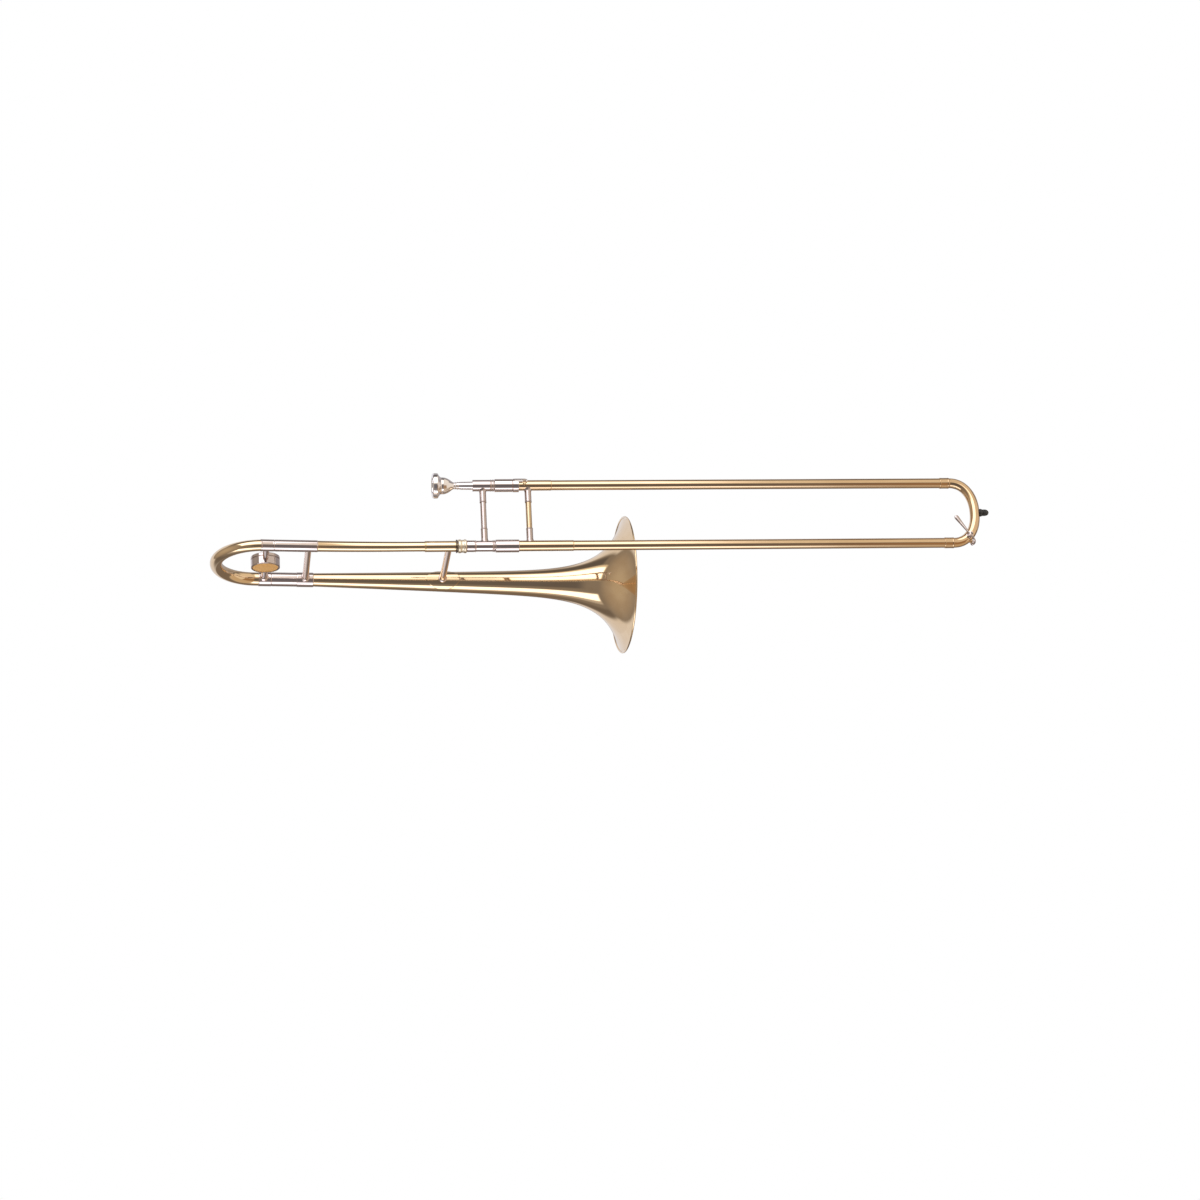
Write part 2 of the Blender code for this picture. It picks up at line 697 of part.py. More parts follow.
weight_seat = rod(
    "weight_seat", -half - 3, half + 3, weight_radius + saddle_gap, None, None, (weight_x, weight_y, lower_z), "Z", 36
)
upper_ferrule_seat = rod("upper_ferrule_seat", -345.0, -300.0, 8.55 + saddle_gap, None, upper_leg_axis)
lower_ferrule_seat = rod("lower_ferrule_seat", -330.0, -290.0, 10.45 + saddle_gap, None, bell_axis)
post_location = (weight_x, 0, lower_z)
upper_post = rod("upper_weight_post", -5.0, 45.0, 4.4, nickel, None, post_location, "Y")
cut(upper_post, weight_seat)
cut(upper_post, upper_ferrule_seat)
lower_post = turned(
    "lower_weight_post",
    [(76.0, 4.4), (116.9, 4.4), (117.2, 5.0), (118.0, 5.8), (119.2, 6.2), (124.0, 6.2)],
    None,
    nickel,
    None,
    post_location,
    "Y",
)
cut(lower_post, weight_seat)
cut(lower_post, lower_ferrule_seat)
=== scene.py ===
"""Looks of a straight tenor trombone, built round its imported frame, in metres."""
import json
import math

import bmesh
import bpy
from mathutils import Matrix, Vector


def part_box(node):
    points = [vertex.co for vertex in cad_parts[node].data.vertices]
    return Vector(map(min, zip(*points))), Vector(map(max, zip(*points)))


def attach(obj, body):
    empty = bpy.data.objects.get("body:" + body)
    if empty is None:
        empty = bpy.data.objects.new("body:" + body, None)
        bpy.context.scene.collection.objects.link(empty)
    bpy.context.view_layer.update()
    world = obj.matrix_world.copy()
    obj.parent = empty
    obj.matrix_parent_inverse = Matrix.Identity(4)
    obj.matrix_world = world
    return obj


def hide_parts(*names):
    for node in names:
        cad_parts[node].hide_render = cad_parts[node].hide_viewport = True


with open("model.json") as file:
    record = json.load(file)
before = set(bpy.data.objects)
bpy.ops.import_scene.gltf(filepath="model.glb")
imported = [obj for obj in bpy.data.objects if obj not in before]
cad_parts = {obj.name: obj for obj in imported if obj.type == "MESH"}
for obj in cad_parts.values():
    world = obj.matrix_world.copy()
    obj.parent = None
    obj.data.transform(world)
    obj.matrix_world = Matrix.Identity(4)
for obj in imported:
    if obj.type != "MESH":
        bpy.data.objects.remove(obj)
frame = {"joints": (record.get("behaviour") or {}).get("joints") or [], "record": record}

for spare in ("Cube", "Light", "Camera"):
    if spare in bpy.data.objects:
        bpy.data.objects.remove(bpy.data.objects[spare])
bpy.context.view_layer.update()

# ------------------------------------------------------------------ inner slide tubes
# Two drawn nickel silver tubes, chrome plated, with a slightly thicker stocking at the
# far end of each. All stations of the slide are in millimetres from the hand brace.

mm = 0.001


def middle_of(node):
    low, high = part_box(node)
    return (low + high) / 2


class Line:
    """A straight line that a piece is turned about. Angles round it start at its side."""

    def __init__(self, start, along, side):
        self.start = Vector(start)
        self.along = Vector(along).normalized()
        self.side = Vector(side).normalized()
        self.third = self.along.cross(self.side)

    def point(self, station, out=0.0, angle=0.0):
        away = self.side * math.cos(angle) + self.third * math.sin(angle)
        return self.start + self.along * station * mm + away * out * mm

    def station_of(self, place):
        return (place - self.start).dot(self.along) / mm

    def out_of(self, place):
        offset = place - self.start
        return (offset - self.along * offset.dot(self.along)).length / mm


hand_brace = middle_of("inner_brace_tube")
upper_line = Line((hand_brace.x, 0, middle_of("upper_inner_tube").z), (1, 0, 0), (0, 0, 1))
lower_line = Line((hand_brace.x, 0, middle_of("lower_inner_tube").z), (1, 0, 0), (0, 0, 1))


def eased(outline, size, closed):
    """The outline with its corners rounded, and rings beside them that keep long walls straight.

    The third number is 1 at a corner, where polish wears.
    """
    result = []
    count = len(outline)
    gentle, straight = math.radians(16), math.radians(1.5)
    for i, here in enumerate(outline):
        point = Vector(here)
        if not closed and i in (0, count - 1):
            result.append((point.x, point.y, 0.0))
            continue
        into = point - Vector(outline[i - 1])
        out = Vector(outline[(i + 1) % count]) - point
        if into.length < 1e-6 or out.length < 1e-6:
            continue
        turning = into.angle(out)
        if turning < gentle:
            around = [point]
            if turning > straight and into.length > 4.0:
                around.insert(0, point - into.normalized() * 0.5)
            if turning > straight and out.length > 4.0:
                around.append(point + out.normalized() * 0.5)
            result += [(place.x, place.y, 0.0) for place in around]
            continue
        reach_in = min(size, 0.42 * into.length)
        reach_out = min(size, 0.42 * out.length)
        if into.length > 4 * (reach_in + 0.5):
            support = point - into.normalized() * (reach_in + 0.7)
            result.append((support.x, support.y, 0.0))
        start = point - into.normalized() * reach_in
        end = point + out.normalized() * reach_out
        for k in range(5):
            t = k / 4
            place = start * (1 - t) ** 2 + point * 2 * t * (1 - t) + end * t * t
            result.append((place.x, place.y, 1.0))
        if out.length > 4 * (reach_out + 0.5):
            support = point + out.normalized() * (reach_out + 0.7)
            result.append((support.x, support.y, 0.0))
    return result


def made(name, points, faces, worked, edges):
    """A smooth mesh that also carries its own turning coordinates and where its edges are."""
    mesh = bpy.data.meshes.new(name)
    mesh.from_pydata(points, [], faces)
    attribute = mesh.attributes.new("worked", "FLOAT_VECTOR", "POINT")
    attribute.data.foreach_set("vector", [c for place in worked for c in place])
    attribute = mesh.attributes.new("edge", "FLOAT", "POINT")
    attribute.data.foreach_set("value", edges)
    shape = bmesh.new()
    shape.from_mesh(mesh)
    bmesh.ops.recalc_face_normals(shape, faces=shape.faces)
    shape.to_mesh(mesh)
    shape.free()
    mesh.shade_smooth()
    mesh.set_sharp_from_angle(angle=math.radians(38))
    obj = bpy.data.objects.new(name, mesh)
    bpy.context.scene.collection.objects.link(obj)
    return obj


def skin(rings, sides, closed):
    """Faces between neighbouring rings of points. A ring of one point is a tip."""
    faces = []
    last = len(rings) if closed else len(rings) - 1
    for i in range(last):
        here, after = rings[i], rings[(i + 1) % len(rings)]
        for k in range(sides):
            n = (k + 1) % sides
            corners = [here[k % len(here)], here[n % len(here)]]
            corners += [after[n % len(after)], after[k % len(after)]]
            faces.append(list(dict.fromkeys(corners)))
    return faces


def turned(name, line, outline, bored=True, sides=72, ease=0.22):
    """A piece turned about a line, from (station, radius) pairs in millimetres.

    A bored piece's outline runs round its section. A solid one's starts and ends on the line.
    """
    section = eased(outline, ease, bored)
    points, worked, edges, rings = [], [], [], []
    for station, radius, edge in section:
        if radius < 1e-6:
            rings.append([len(points)])
            points.append(line.point(station))
            worked.append((station * mm, 0.0, 0.0))
            edges.append(edge)
            continue
        ring = []
        for k in range(sides):
            angle = math.tau * k / sides
            ring.append(len(points))
            points.append(line.point(station, radius, angle))
            worked.append((station * mm, radius * math.cos(angle) * mm, radius * math.sin(angle) * mm))
            edges.append(edge)
        rings.append(ring)
    return made(name, points, skin(rings, sides, bored), worked, edges)


def tube_outline(start, end, radius, bore):
    return [(start, radius), (end, radius), (end, bore), (start, bore)]


def put(tree, kind, inputs=None, **settings):
    """A shader node with its settings, and its inputs set or linked."""
    node = tree.nodes.new("ShaderNode" + kind)
    for key, value in settings.items():
        setattr(node, key, value)
    for key, value in (inputs or {}).items():
        if isinstance(value, bpy.types.NodeSocket):
            tree.links.new(value, node.inputs[key])
        else:
            node.inputs[key].default_value = value
    return node


def math_node(tree, operation, first, second=0.0):
    return put(tree, "Math", {0: first, 1: second}, operation=operation).outputs[0]


def mixed(tree, share, first, second):
    node = put(tree, "Mix", {0: share, 6: first, 7: second}, data_type="RGBA")
    return node.outputs[2]


def spread(tree, value, low, high, to_low=0.0, to_high=1.0):
    """value between low and high, eased onto to_low and to_high."""
    inputs = {"Value": value, "From Min": low, "From Max": high, "To Min": to_low, "To Max": to_high}
    return put(tree, "MapRange", inputs, interpolation_type="SMOOTHSTEP").outputs[0]


def polished_metal_group():
    """Buffed and handled metal: cloudy tone, buffing lines, finger smears and dull edges."""
    tree = bpy.data.node_groups.new("Polish and handling", "ShaderNodeTree")
    for name, kind, value in (
        ("Fresh", "NodeSocketColor", (0.8, 0.8, 0.8, 1)),
        ("Deep", "NodeSocketColor", (0.5, 0.5, 0.5, 1)),
        ("Clouding", "NodeSocketFloat", 0.3),
        ("Shine", "NodeSocketFloat", 0.1),
        ("Handling", "NodeSocketFloat", 0.1),
        ("Edge tarnish", "NodeSocketFloat", 0.3),
        ("Lines", "NodeSocketFloat", 0.3),
    ):
        tree.interface.new_socket(name, in_out="INPUT", socket_type=kind).default_value = value
    tree.interface.new_socket("Colour", in_out="OUTPUT", socket_type="NodeSocketColor")
    for name in ("Roughness", "Height"):
        tree.interface.new_socket(name, in_out="OUTPUT", socket_type="NodeSocketFloat")
    given = tree.nodes.new("NodeGroupInput").outputs
    worked = put(tree, "Attribute", attribute_name="worked").outputs["Vector"]
    edge = put(tree, "Attribute", attribute_name="edge").outputs["Fac"]

    def noise(stretch, detail, roughness=0.5):
        place = put(tree, "Mapping", {"Vector": worked, "Scale": stretch}).outputs[0]
        inputs = {"Vector": place, "Scale": 1.0, "Detail": detail, "Roughness": roughness}
        return put(tree, "TexNoise", inputs).outputs[0]

    clouds = spread(tree, noise((16, 70, 70), 3.0), 0.35, 0.68)
    stains = spread(tree, noise((110, 140, 140), 5.0, 0.62), 0.6, 0.78)
    smears = spread(tree, noise((60, 190, 190), 4.0, 0.6), 0.5, 0.74)
    lines = noise((1100, 30, 30), 2.0, 0.6)
    specks = spread(tree, noise((700, 700, 700), 1.0), 0.76, 0.80)
    patches = spread(tree, noise((300, 420, 420), 3.0), 0.3, 0.6, 0.35, 1.0)
    patchy = math_node(tree, "MULTIPLY", edge, patches)

    line_tone = math_node(tree, "MULTIPLY", math_node(tree, "SUBTRACT", lines, 0.5), given["Lines"])

    def summed(start, *layers):
        """A value with layers of effect and strength added to it one after another."""
        for effect, strength in layers:
            start = math_node(tree, "ADD", start, math_node(tree, "MULTIPLY", effect, strength))
        return start

    deep = math_node(tree, "MULTIPLY", clouds, given["Clouding"])
    deep = summed(deep, (stains, 0.16), (patchy, given["Edge tarnish"]), (line_tone, 0.35))
    share = put(tree, "Clamp", {"Value": deep}).outputs[0]
    colour = mixed(tree, share, given["Fresh"], given["Deep"])

    dull = math_node(tree, "MULTIPLY", smears, given["Handling"])
    dull = summed(dull, (line_tone, 0.04), (patchy, 0.06), (specks, 0.12))
    dull = math_node(tree, "ADD", dull, given["Shine"])

    height = math_node(tree, "ADD", math_node(tree, "MULTIPLY", lines, given["Lines"]), specks)
    out = tree.nodes.new("NodeGroupOutput")
    for name, value in (("Colour", colour), ("Roughness", dull), ("Height", height)):
        tree.links.new(value, out.inputs[name])
    return tree


polish_and_handling = polished_metal_group()


def new_finish(name):
    material = bpy.data.materials.new(name)
    material.use_nodes = True
    tree = material.node_tree
    return material, tree, tree.nodes["Principled BSDF"]


def surfaced(tree, shader, colour, roughness, height, strength, depth):
    """Gives a shader its colour, its roughness and a relief that is depth metres high."""
    relief = put(tree, "Bump", {"Height": height, "Strength": strength, "Distance": depth}).outputs[0]
    for key, value in (("Base Color", colour), ("Roughness", roughness), ("Normal", relief)):
        tree.links.new(value, shader.inputs[key])


def metal(name, fresh, deep, shine, clouding, handling, tarnish, lines, relief, coat=0.0):
    """A metal finish. shine is the roughness of its freshest spots, and coat is clear lacquer."""
    material, tree, shader = new_finish(name)
    values = {"Fresh": (*fresh, 1), "Deep": (*deep, 1), "Shine": shine, "Clouding": clouding}
    values.update({"Handling": handling, "Edge tarnish": tarnish, "Lines": lines})
    polish = put(tree, "Group", node_tree=polish_and_handling)
    for key, value in values.items():
        polish.inputs[key].default_value = value
    made_by = polish.outputs
    surfaced(tree, shader, made_by["Colour"], made_by["Roughness"], made_by["Height"], relief, 0.0001)
    shader.inputs["Metallic"].default_value = 1.0
    shader.inputs["Coat Weight"].default_value = coat
    shader.inputs["Coat Roughness"].default_value = 0.04
    return material


def fitted(obj, material, body, slot, *nodes):
    """The piece gets its finish, rides on its body and stands for its CAD nodes."""
    obj.data.materials.append(material)
    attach(obj, body)
    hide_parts(*nodes)
    return obj


chrome = metal("Chrome plate", (0.78, 0.785, 0.80), (0.60, 0.60, 0.62), 0.035, 0.2, 0.03, 0.3, 0.35, 0.006)
inner_bore = 6.3
inner_radius = 6.55
stocking_radius = 6.85
inner_end = 664.0
stocking_start = 560.0
for level, line, near_end in (("upper", upper_line, 9.8), ("lower", lower_line, -15.0)):
    stretch = tube_outline(near_end, inner_end, inner_radius, inner_bore)
    piece = turned(level + "_inner_slide_tube", line, stretch)
    fitted(piece, chrome, "inner_slide", "chrome_tube", level + "_inner_tube")
    sock = [(stocking_start, 6.64), (stocking_start + 2.0, stocking_radius), (inner_end, stocking_radius)]
    sock += [(inner_end, inner_radius + 0.05), (stocking_start, inner_radius + 0.05)]
    piece = turned(level + "_slide_stocking", line, sock)
    fitted(piece, chrome, "inner_slide", "chrome_tube", level + "_stocking")

# ------------------------------------------------------------------ leadpipe
# A thin tapered brass tube inside the upper inner tube, left bare and a little dull.

bare_brass = metal("Bare brass", (0.86, 0.72, 0.46), (0.60, 0.44, 0.24), 0.24, 0.5, 0.08, 0.5, 0.6, 0.06)
leadpipe_outline = [(10.0, 6.2), (215.0, 6.2), (215.0, 5.9), (120.0, 5.5), (10.0, 4.9)]
piece = turned("tapered_leadpipe", upper_line, leadpipe_outline)
fitted(piece, bare_brass, "inner_slide", "plain_brass", "leadpipe")

# ------------------------------------------------------------------ cork barrels
# Nickel silver barrels soldered over the inner tubes' near ends. Each hides a felt washer
# that the outer slide bumps against, and the upper one's nose carries the slide lock.

nickel = metal("Nickel plate", (0.82, 0.715, 0.69), (0.64, 0.53, 0.50), 0.05, 0.28, 0.03, 0.5, 0.35, 0.005)
barrel_bore = 6.65
outline = [(16.8, 8.5), (17.6, 9.25), (43.2, 9.25), (43.3, 8.5), (51.6, 8.5)]
outline += [(51.6, 8.0), (29.7, 8.0), (29.6, barrel_bore), (16.8, barrel_bore)]
piece = turned("upper_barrel", upper_line, outline, sides=80)
fitted(piece, nickel, "inner_slide", "nickel", "upper_cork_barrel")
outline = [(15.0, 8.5), (15.7, 9.2), (48.6, 9.2), (49.1, 8.9)]
outline += [(49.1, 8.1), (28.1, 8.1), (28.0, barrel_bore), (15.0, barrel_bore)]
piece = turned("lower_barrel", lower_line, outline, sides=80)
fitted(piece, nickel, "inner_slide", "nickel", "lower_cork_barrel")


def pressed_felt():
    """Dark wool felt, with loose fibres standing in its surface."""
    material, tree, shader = new_finish("Pressed felt")
    place = put(tree, "TexCoord").outputs["Object"]
    wool = {"Vector": place, "Scale": 1400.0, "Detail": 4.0, "Distortion": 1.2}
    fibres = put(tree, "TexNoise", wool).outputs[0]
    tone = mixed(tree, spread(tree, fibres, 0.3, 0.7), (0.10, 0.055, 0.05, 1), (0.24, 0.15, 0.13, 1))
    surfaced(tree, shader, tone, spread(tree, fibres, 0.3, 0.7, 0.85, 1.0), fibres, 0.6, 0.0004)
    shader.inputs["Sheen Weight"].default_value = 0.4
    return material


felt = pressed_felt()
for level, line, start, end, radius in (
    ("upper", upper_line, 29.9, 36.4, 7.8),
    ("lower", lower_line, 28.4, 34.8, 7.9),
):
    piece = turned(level + "_felt_washer", line, tube_outline(start, end, radius, barrel_bore), ease=0.7)
    fitted(piece, felt, "inner_slide", "felt", level + "_bumper_felt")

# ------------------------------------------------------------------ receivers
# The mouthpiece's socket on the upper tube and the bell's socket on the lower one, both
# turned nickel silver with beads where they meet the barrels.


def bead(start, end, radius, low):
    """The round ring of a turned bead between two stations."""
    middle, reach = (start + end) / 2, (end - start) / 2
    turn = [math.pi * k / 8 for k in range(9)]
    return [(middle - reach * math.cos(angle), low + (radius - low) * math.sin(angle)) for angle in turn]


outline = [(-14.5, 8.25), (10.7, 8.25)] + bead(11.1, 13.0, 8.75, 8.1)
outline += [(13.6, 8.1)] + bead(14.0, 16.2, 8.75, 8.1) + [(16.4, 8.1)]
outline += [(16.4, barrel_bore), (9.4, barrel_bore), (9.3, 5.85), (-14.5, 6.25)]
piece = turned("mouthpiece_socket", upper_line, outline, sides=80, ease=0.3)
fitted(piece, nickel, "inner_slide", "nickel", "mouthpiece_receiver")

outline = [(-38.0, 7.9), (-26.0, 7.9), (-25.7, 8.3), (-14.8, 8.3)] + bead(-14.4, -12.9, 8.7, 7.8)
outline += [(10.5, 7.8)] + bead(10.9, 12.4, 8.6, 7.9) + bead(13.0, 14.6, 8.6, 7.9)
outline += [(14.7, barrel_bore), (-15.5, barrel_bore), (-15.6, 6.95), (-38.0, 7.3)]
piece = turned("bell_socket", lower_line, outline, sides=80)
fitted(piece, nickel, "inner_slide", "nickel", "bell_receiver")

# ------------------------------------------------------------------ inner slide brace
# The left hand's brace: a nickel tube standing in two collars, each with a flared foot cut
# to the tube that it is soldered to.


def hull(line, radius):
    """How far a point lies outside a round piece about a line, whose radius may change along it."""
    size = radius if callable(radius) else lambda station: radius

    def outside(place):
        return line.out_of(place) - size(line.station_of(place))

    return outside


def scribed(obj, line, fixed, end, outside):
    """Stretches a piece beyond the station fixed, so that its end lies on another piece's surface."""
    search, halvings = 8.0, 26
    for vert in obj.data.vertices:
        station = line.station_of(vert.co)
        share = (station - fixed) / (end - fixed)
        if share <= 0:
            continue
        base = vert.co - line.along * station * mm
        near, far = fixed, end + math.copysign(search, end - fixed)
        for _ in range(halvings):
            guess = (near + far) / 2
            if outside(base + line.along * guess * mm) > 0:
                near = guess
            else:
                far = guess
        vert.co = base + line.along * (fixed + share * (near - fixed)) * mm
    obj.data.update()
    return obj


# A darker copy of the nickel plate, used on the hand braces and the water key lever. Its satin roughness and
# finger smears are real handling. Its darker tone is painted shade that stands in for the dim reflections
# along the braces.
handled_nickel_painted_shade = metal(
    "Handled nickel, painted shade", (0.62, 0.53, 0.505), (0.44, 0.36, 0.335), 0.17, 0.4, 0.10, 0.5, 0.5, 0.02
)
foot_end = 38.2
foot_outline = [(19.7, 4.75), (20.3, 5.0), (21.2, 5.0), (21.6, 4.8), (34.6, 4.8)]
foot_outline += [(34.6 + 3.6 * k / 8, 4.8 + 1.2 * (k / 8) ** 2.2) for k in range(1, 9)]
foot_outline += [(foot_end, 4.35), (19.7, 4.35)]


def slide_brace(side, body, tube_finish, tube_slot, tube_radius, upper_socket, lower_socket):
    """A hand brace. Its feet are cut to slide tubes of the two socket radii."""
    line = Line((middle_of(side + "_brace_tube").x, 0, hand_brace.z), (0, 0, 1), (1, 0, 0))
    low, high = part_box(side + "_brace_tube")
    reach = (high.z - low.z) / 2 / mm
    piece = turned(side + "_brace_bar", line, tube_outline(-reach, reach, tube_radius, tube_radius - 0.6))
    fitted(piece, tube_finish, body, tube_slot, side + "_brace_tube")
    for level, way, tube_line, socket in (
        ("upper", 1, upper_line, upper_socket),
        ("lower", -1, lower_line, lower_socket),
    ):
        outline = [(way * along, radius) for along, radius in foot_outline]
        piece = turned(side + "_brace_" + level + "_foot", line, outline, sides=96, ease=0.2)
        scribed(piece, line, way * 30.0, way * foot_end, hull(tube_line, socket))
        fitted(piece, handled_nickel_painted_shade, body, "nickel", side + "_brace_" + level + "_collar")


slide_brace("inner", "inner_slide", handled_nickel_painted_shade, "nickel", 4.25, 8.22, 7.78)

# ------------------------------------------------------------------ outer slide
# Two drawn brass tubes, each with a longer sleeve over its near end, in clear gold
# lacquer. A bare brass stud on the upper sleeve takes the slide lock.

slide_tones = (0.81, 0.585, 0.365), (0.66, 0.43, 0.23)
slide_lacquer = metal("Lacquered slide brass", *slide_tones, 0.05, 0.28, 0.03, 0.45, 0.3, 0.005, 0.35)
outer_radius = 7.2
outer_bore = 7.0
outer_end = 676.0
sleeve_bore = 7.25
for level, line, near_end, sleeve_start, sleeve_end, sleeve_radius in (
    ("upper", upper_line, 36.8, 37.2, 99.3, 7.55),
    ("lower", lower_line, 35.2, 35.6, 127.8, 7.7),
):
    stretch = tube_outline(near_end, outer_end, outer_radius, outer_bore)
    piece = turned(level + "_outer_slide_tube", line, stretch, sides=88, ease=0.08)
    fitted(piece, slide_lacquer, "outer_slide", "lacquered_brass", level + "_outer_tube")
    outline = [(sleeve_start, sleeve_radius), (sleeve_end - 0.6, sleeve_radius), (sleeve_end, 7.35)]
    outline += [(sleeve_end, sleeve_bore), (sleeve_start, sleeve_bore)]
    piece = turned(level + "_hand_sleeve", line, outline, sides=88)
    fitted(piece, slide_lacquer, "outer_slide", "lacquered_brass", level + "_oversleeve")

stud_centre = middle_of("slide_lock_stud")
stud_line = Line((stud_centre.x, 0, upper_line.start.z), (0, 1, 0), (1, 0, 0))
outline = [(-10.2, 0.0), (-10.2, 1.2), (-9.7, 1.8), (-8.3, 1.8), (-7.9, 2.4), (-7.0, 2.4), (-7.0, 0.0)]
piece = turned("lock_stud", stud_line, outline, bored=False, sides=40)
fitted(piece, bare_brass, "outer_slide", "plain_brass", "slide_lock_stud")

# ------------------------------------------------------------------ outer slide brace
# The right hand's brace, with a lacquered brass tube between nickel collars.

# A darker copy of the lacquered brass for the brace tube. Its satin roughness and finger smears are real
# handling. Its darker tone is painted shade that stands in for the dim reflections along the brace.
handled_lacquer_painted_shade = metal(
    "Handled lacquer, painted shade", (0.66, 0.50, 0.32), (0.50, 0.35, 0.20), 0.16, 0.4, 0.10, 0.5, 0.5, 0.02, 0.3
)
slide_brace("outer", "outer_slide", handled_lacquer_painted_shade, "lacquered_brass", 4.2, 7.52, 7.67)

# ------------------------------------------------------------------ slide bow
# A brass tube bent into the slide's far end, joined to the outer tubes by two ferrules,
# all in gold lacquer.


def evenly(path, count):
    """The same path with count evenly spaced steps."""
    lengths = [0.0]
    for before, here in zip(path, path[1:]):
        lengths.append(lengths[-1] + (here - before).length)
    result = []
    i = 0
    for k in range(count + 1):
        wanted = lengths[-1] * k / count
        while i < len(path) - 2 and lengths[i + 1] < wanted:
            i += 1
        span = max(lengths[i + 1] - lengths[i], 1e-12)
        result.append(path[i].lerp(path[i + 1], (wanted - lengths[i]) / span))
    return result


def flowing(places, steps):
    """A smooth curve through a few places, which may be points, radii or both in one tuple."""
    result = []
    last = len(places) - 1
    for i in range(last):
        before, here = Vector(places[max(i - 1, 0)]), Vector(places[i])
        after, beyond = Vector(places[i + 1]), Vector(places[min(i + 2, last)])
        for k in range(steps):
            t = k / steps
            slope_here, slope_after = (after - before) / 2, (beyond - here) / 2
            result.append(
                here * (2 * t**3 - 3 * t**2 + 1)
                + slope_here * (t**3 - 2 * t**2 + t)
                + after * (3 * t**2 - 2 * t**3)
                + slope_after * (t**3 - t**2)
            )
    result.append(Vector(places[last]))
    return result


def drawn(name, path, radii, bores=None, sides=72):
    """A round bar or tube along a path in metres, with a radius in millimetres for each place.

    Without bores it is a solid bar, whose ends are rounded over.
    """
    points, worked, edges, rings = [], [], [], []
    tangents = []
    for i in range(len(path)):
        step = path[min(i + 1, len(path) - 1)] - path[max(i - 1, 0)]
        tangents.append(step.normalized())
    side = tangents[0].orthogonal().normalized()
    frames = []
    along = 0.0
    for i, (place, tangent) in enumerate(zip(path, tangents)):
        side = (side - tangent * side.dot(tangent)).normalized()
        if i:
            along += (place - path[i - 1]).length
        frames.append((place, tangent, side, tangent.cross(side), along))

    def ring(frame_here, radius, shift=0.0, edge=0.0):
        place, tangent, across, third, station = frame_here
        made_ring = []
        for k in range(sides):
            angle = math.tau * k / sides
            away = across * math.cos(angle) + third * math.sin(angle)
            made_ring.append(len(points))
            points.append(place + tangent * shift * mm + away * radius * mm)
            worked.append((station, radius * math.cos(angle) * mm, radius * math.sin(angle) * mm))
            edges.append(edge)
        rings.append(made_ring)

    def tip(frame_here, shift):
        rings.append([len(points)])
        points.append(frame_here[0] + frame_here[1] * shift * mm)
        worked.append((frame_here[4], 0.0, 0.0))
        edges.append(0.3)

    def rounded(frame_here, radius, way, order):
        for k in order:
            angle = math.pi / 2 * k / 5
            ring(frame_here, radius * math.sin(angle), way * radius * 0.6 * math.cos(angle), 0.3)

    if not bores:
        tip(frames[0], -radii[0] * 0.6)
        rounded(frames[0], radii[0], -1, (1, 2, 3, 4))
    for where, radius in zip(frames, radii):
        ring(where, radius)
    if bores:
        for where, bore in zip(reversed(frames), reversed(bores)):
            ring(where, bore)
    else:
        rounded(frames[-1], radii[-1], 1, (4, 3, 2, 1))
        tip(frames[-1], radii[-1] * 0.6)
    return made(name, points, skin(rings, sides, bores), worked, edges)


def half_round(depth, half_width, fullness):
    """(out, across) along a bend from one leg to the other. Fullness 2 is an ellipse."""
    stations = []
    for k in range(161):
        angle = math.pi * k / 160
        out = depth * abs(math.sin(angle)) ** (2 / fullness)
        across = half_width * abs(math.cos(angle)) ** (2 / fullness)
        stations.append((out, math.copysign(across, math.cos(angle))))
    return stations


bow_low, bow_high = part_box("slide_bow")
bow_mouth = bow_low.x
bow_start = bow_mouth + 6.7 * mm
bow_radius = 7.2
bow_bore = 6.7
bow_depth = bow_high.x / mm - bow_radius - bow_start / mm
half_spacing = (upper_line.start.z - lower_line.start.z) / 2 / mm
bow_fullness = 2.19
bow_path = [Vector((bow_mouth, 0, half_spacing * mm))]
for out, across in half_round(bow_depth, half_spacing, bow_fullness):
    bow_path.append(Vector((bow_start + out * mm, 0, across * mm)))
bow_path.append(Vector((bow_mouth, 0, -half_spacing * mm)))
bow_path = evenly(bow_path, 150)
places = len(bow_path)
piece = drawn("bow_tube", bow_path, [bow_radius] * places, [bow_bore] * places, sides=88)
fitted(piece, slide_lacquer, "outer_slide", "lacquered_brass", "slide_bow")
for level, line in (("upper", upper_line), ("lower", lower_line)):
    outline = [(669.3, 7.5), (669.8, 7.95), (671.0, 7.95), (671.2, 7.8), (681.2, 7.8), (681.4, 7.95)]
    outline += [(682.7, 7.95), (683.2, 7.5), (683.2, sleeve_bore), (669.3, sleeve_bore)]
    piece = turned(level + "_bow_band", line, outline, sides=88)
    fitted(piece, slide_lacquer, "outer_slide", "lacquered_brass", level + "_bow_ferrule")


def hull_of_path(path, radius):
    """How far a point lies outside a round bent tube."""

    def outside(place):
        return min((place - centre).length for centre in path) / mm - radius

    return outside


# ------------------------------------------------------------------ bumper
# A black rubber tip on a short flange at the middle of the bow, which the slide rests on
# when it stands on the floor.


def moulded_rubber():
    """Black rubber gone a little grey with dust and rubbing on its tip."""
    material, tree, shader = new_finish("Black rubber")
    place = put(tree, "TexCoord").outputs["Object"]
    grain = put(tree, "TexNoise", {"Vector": place, "Scale": 2400.0, "Detail": 5.0}).outputs[0]
    dusting = {"Vector": place, "Scale": 420.0, "Detail": 5.0, "Roughness": 0.65}
    dust = put(tree, "TexNoise", dusting).outputs[0]
    edge = put(tree, "Attribute", attribute_name="edge").outputs["Fac"]
    worn = math_node(tree, "MULTIPLY", spread(tree, dust, 0.42, 0.62), math_node(tree, "ADD", edge, 0.35))
    worn = put(tree, "Clamp", {"Value": worn}).outputs[0]
    tone = mixed(tree, worn, (0.008, 0.007, 0.007, 1), (0.06, 0.055, 0.05, 1))
    surfaced(tree, shader, tone, spread(tree, grain, 0.3, 0.7, 0.42, 0.66), grain, 0.25, 0.0002)
    return material


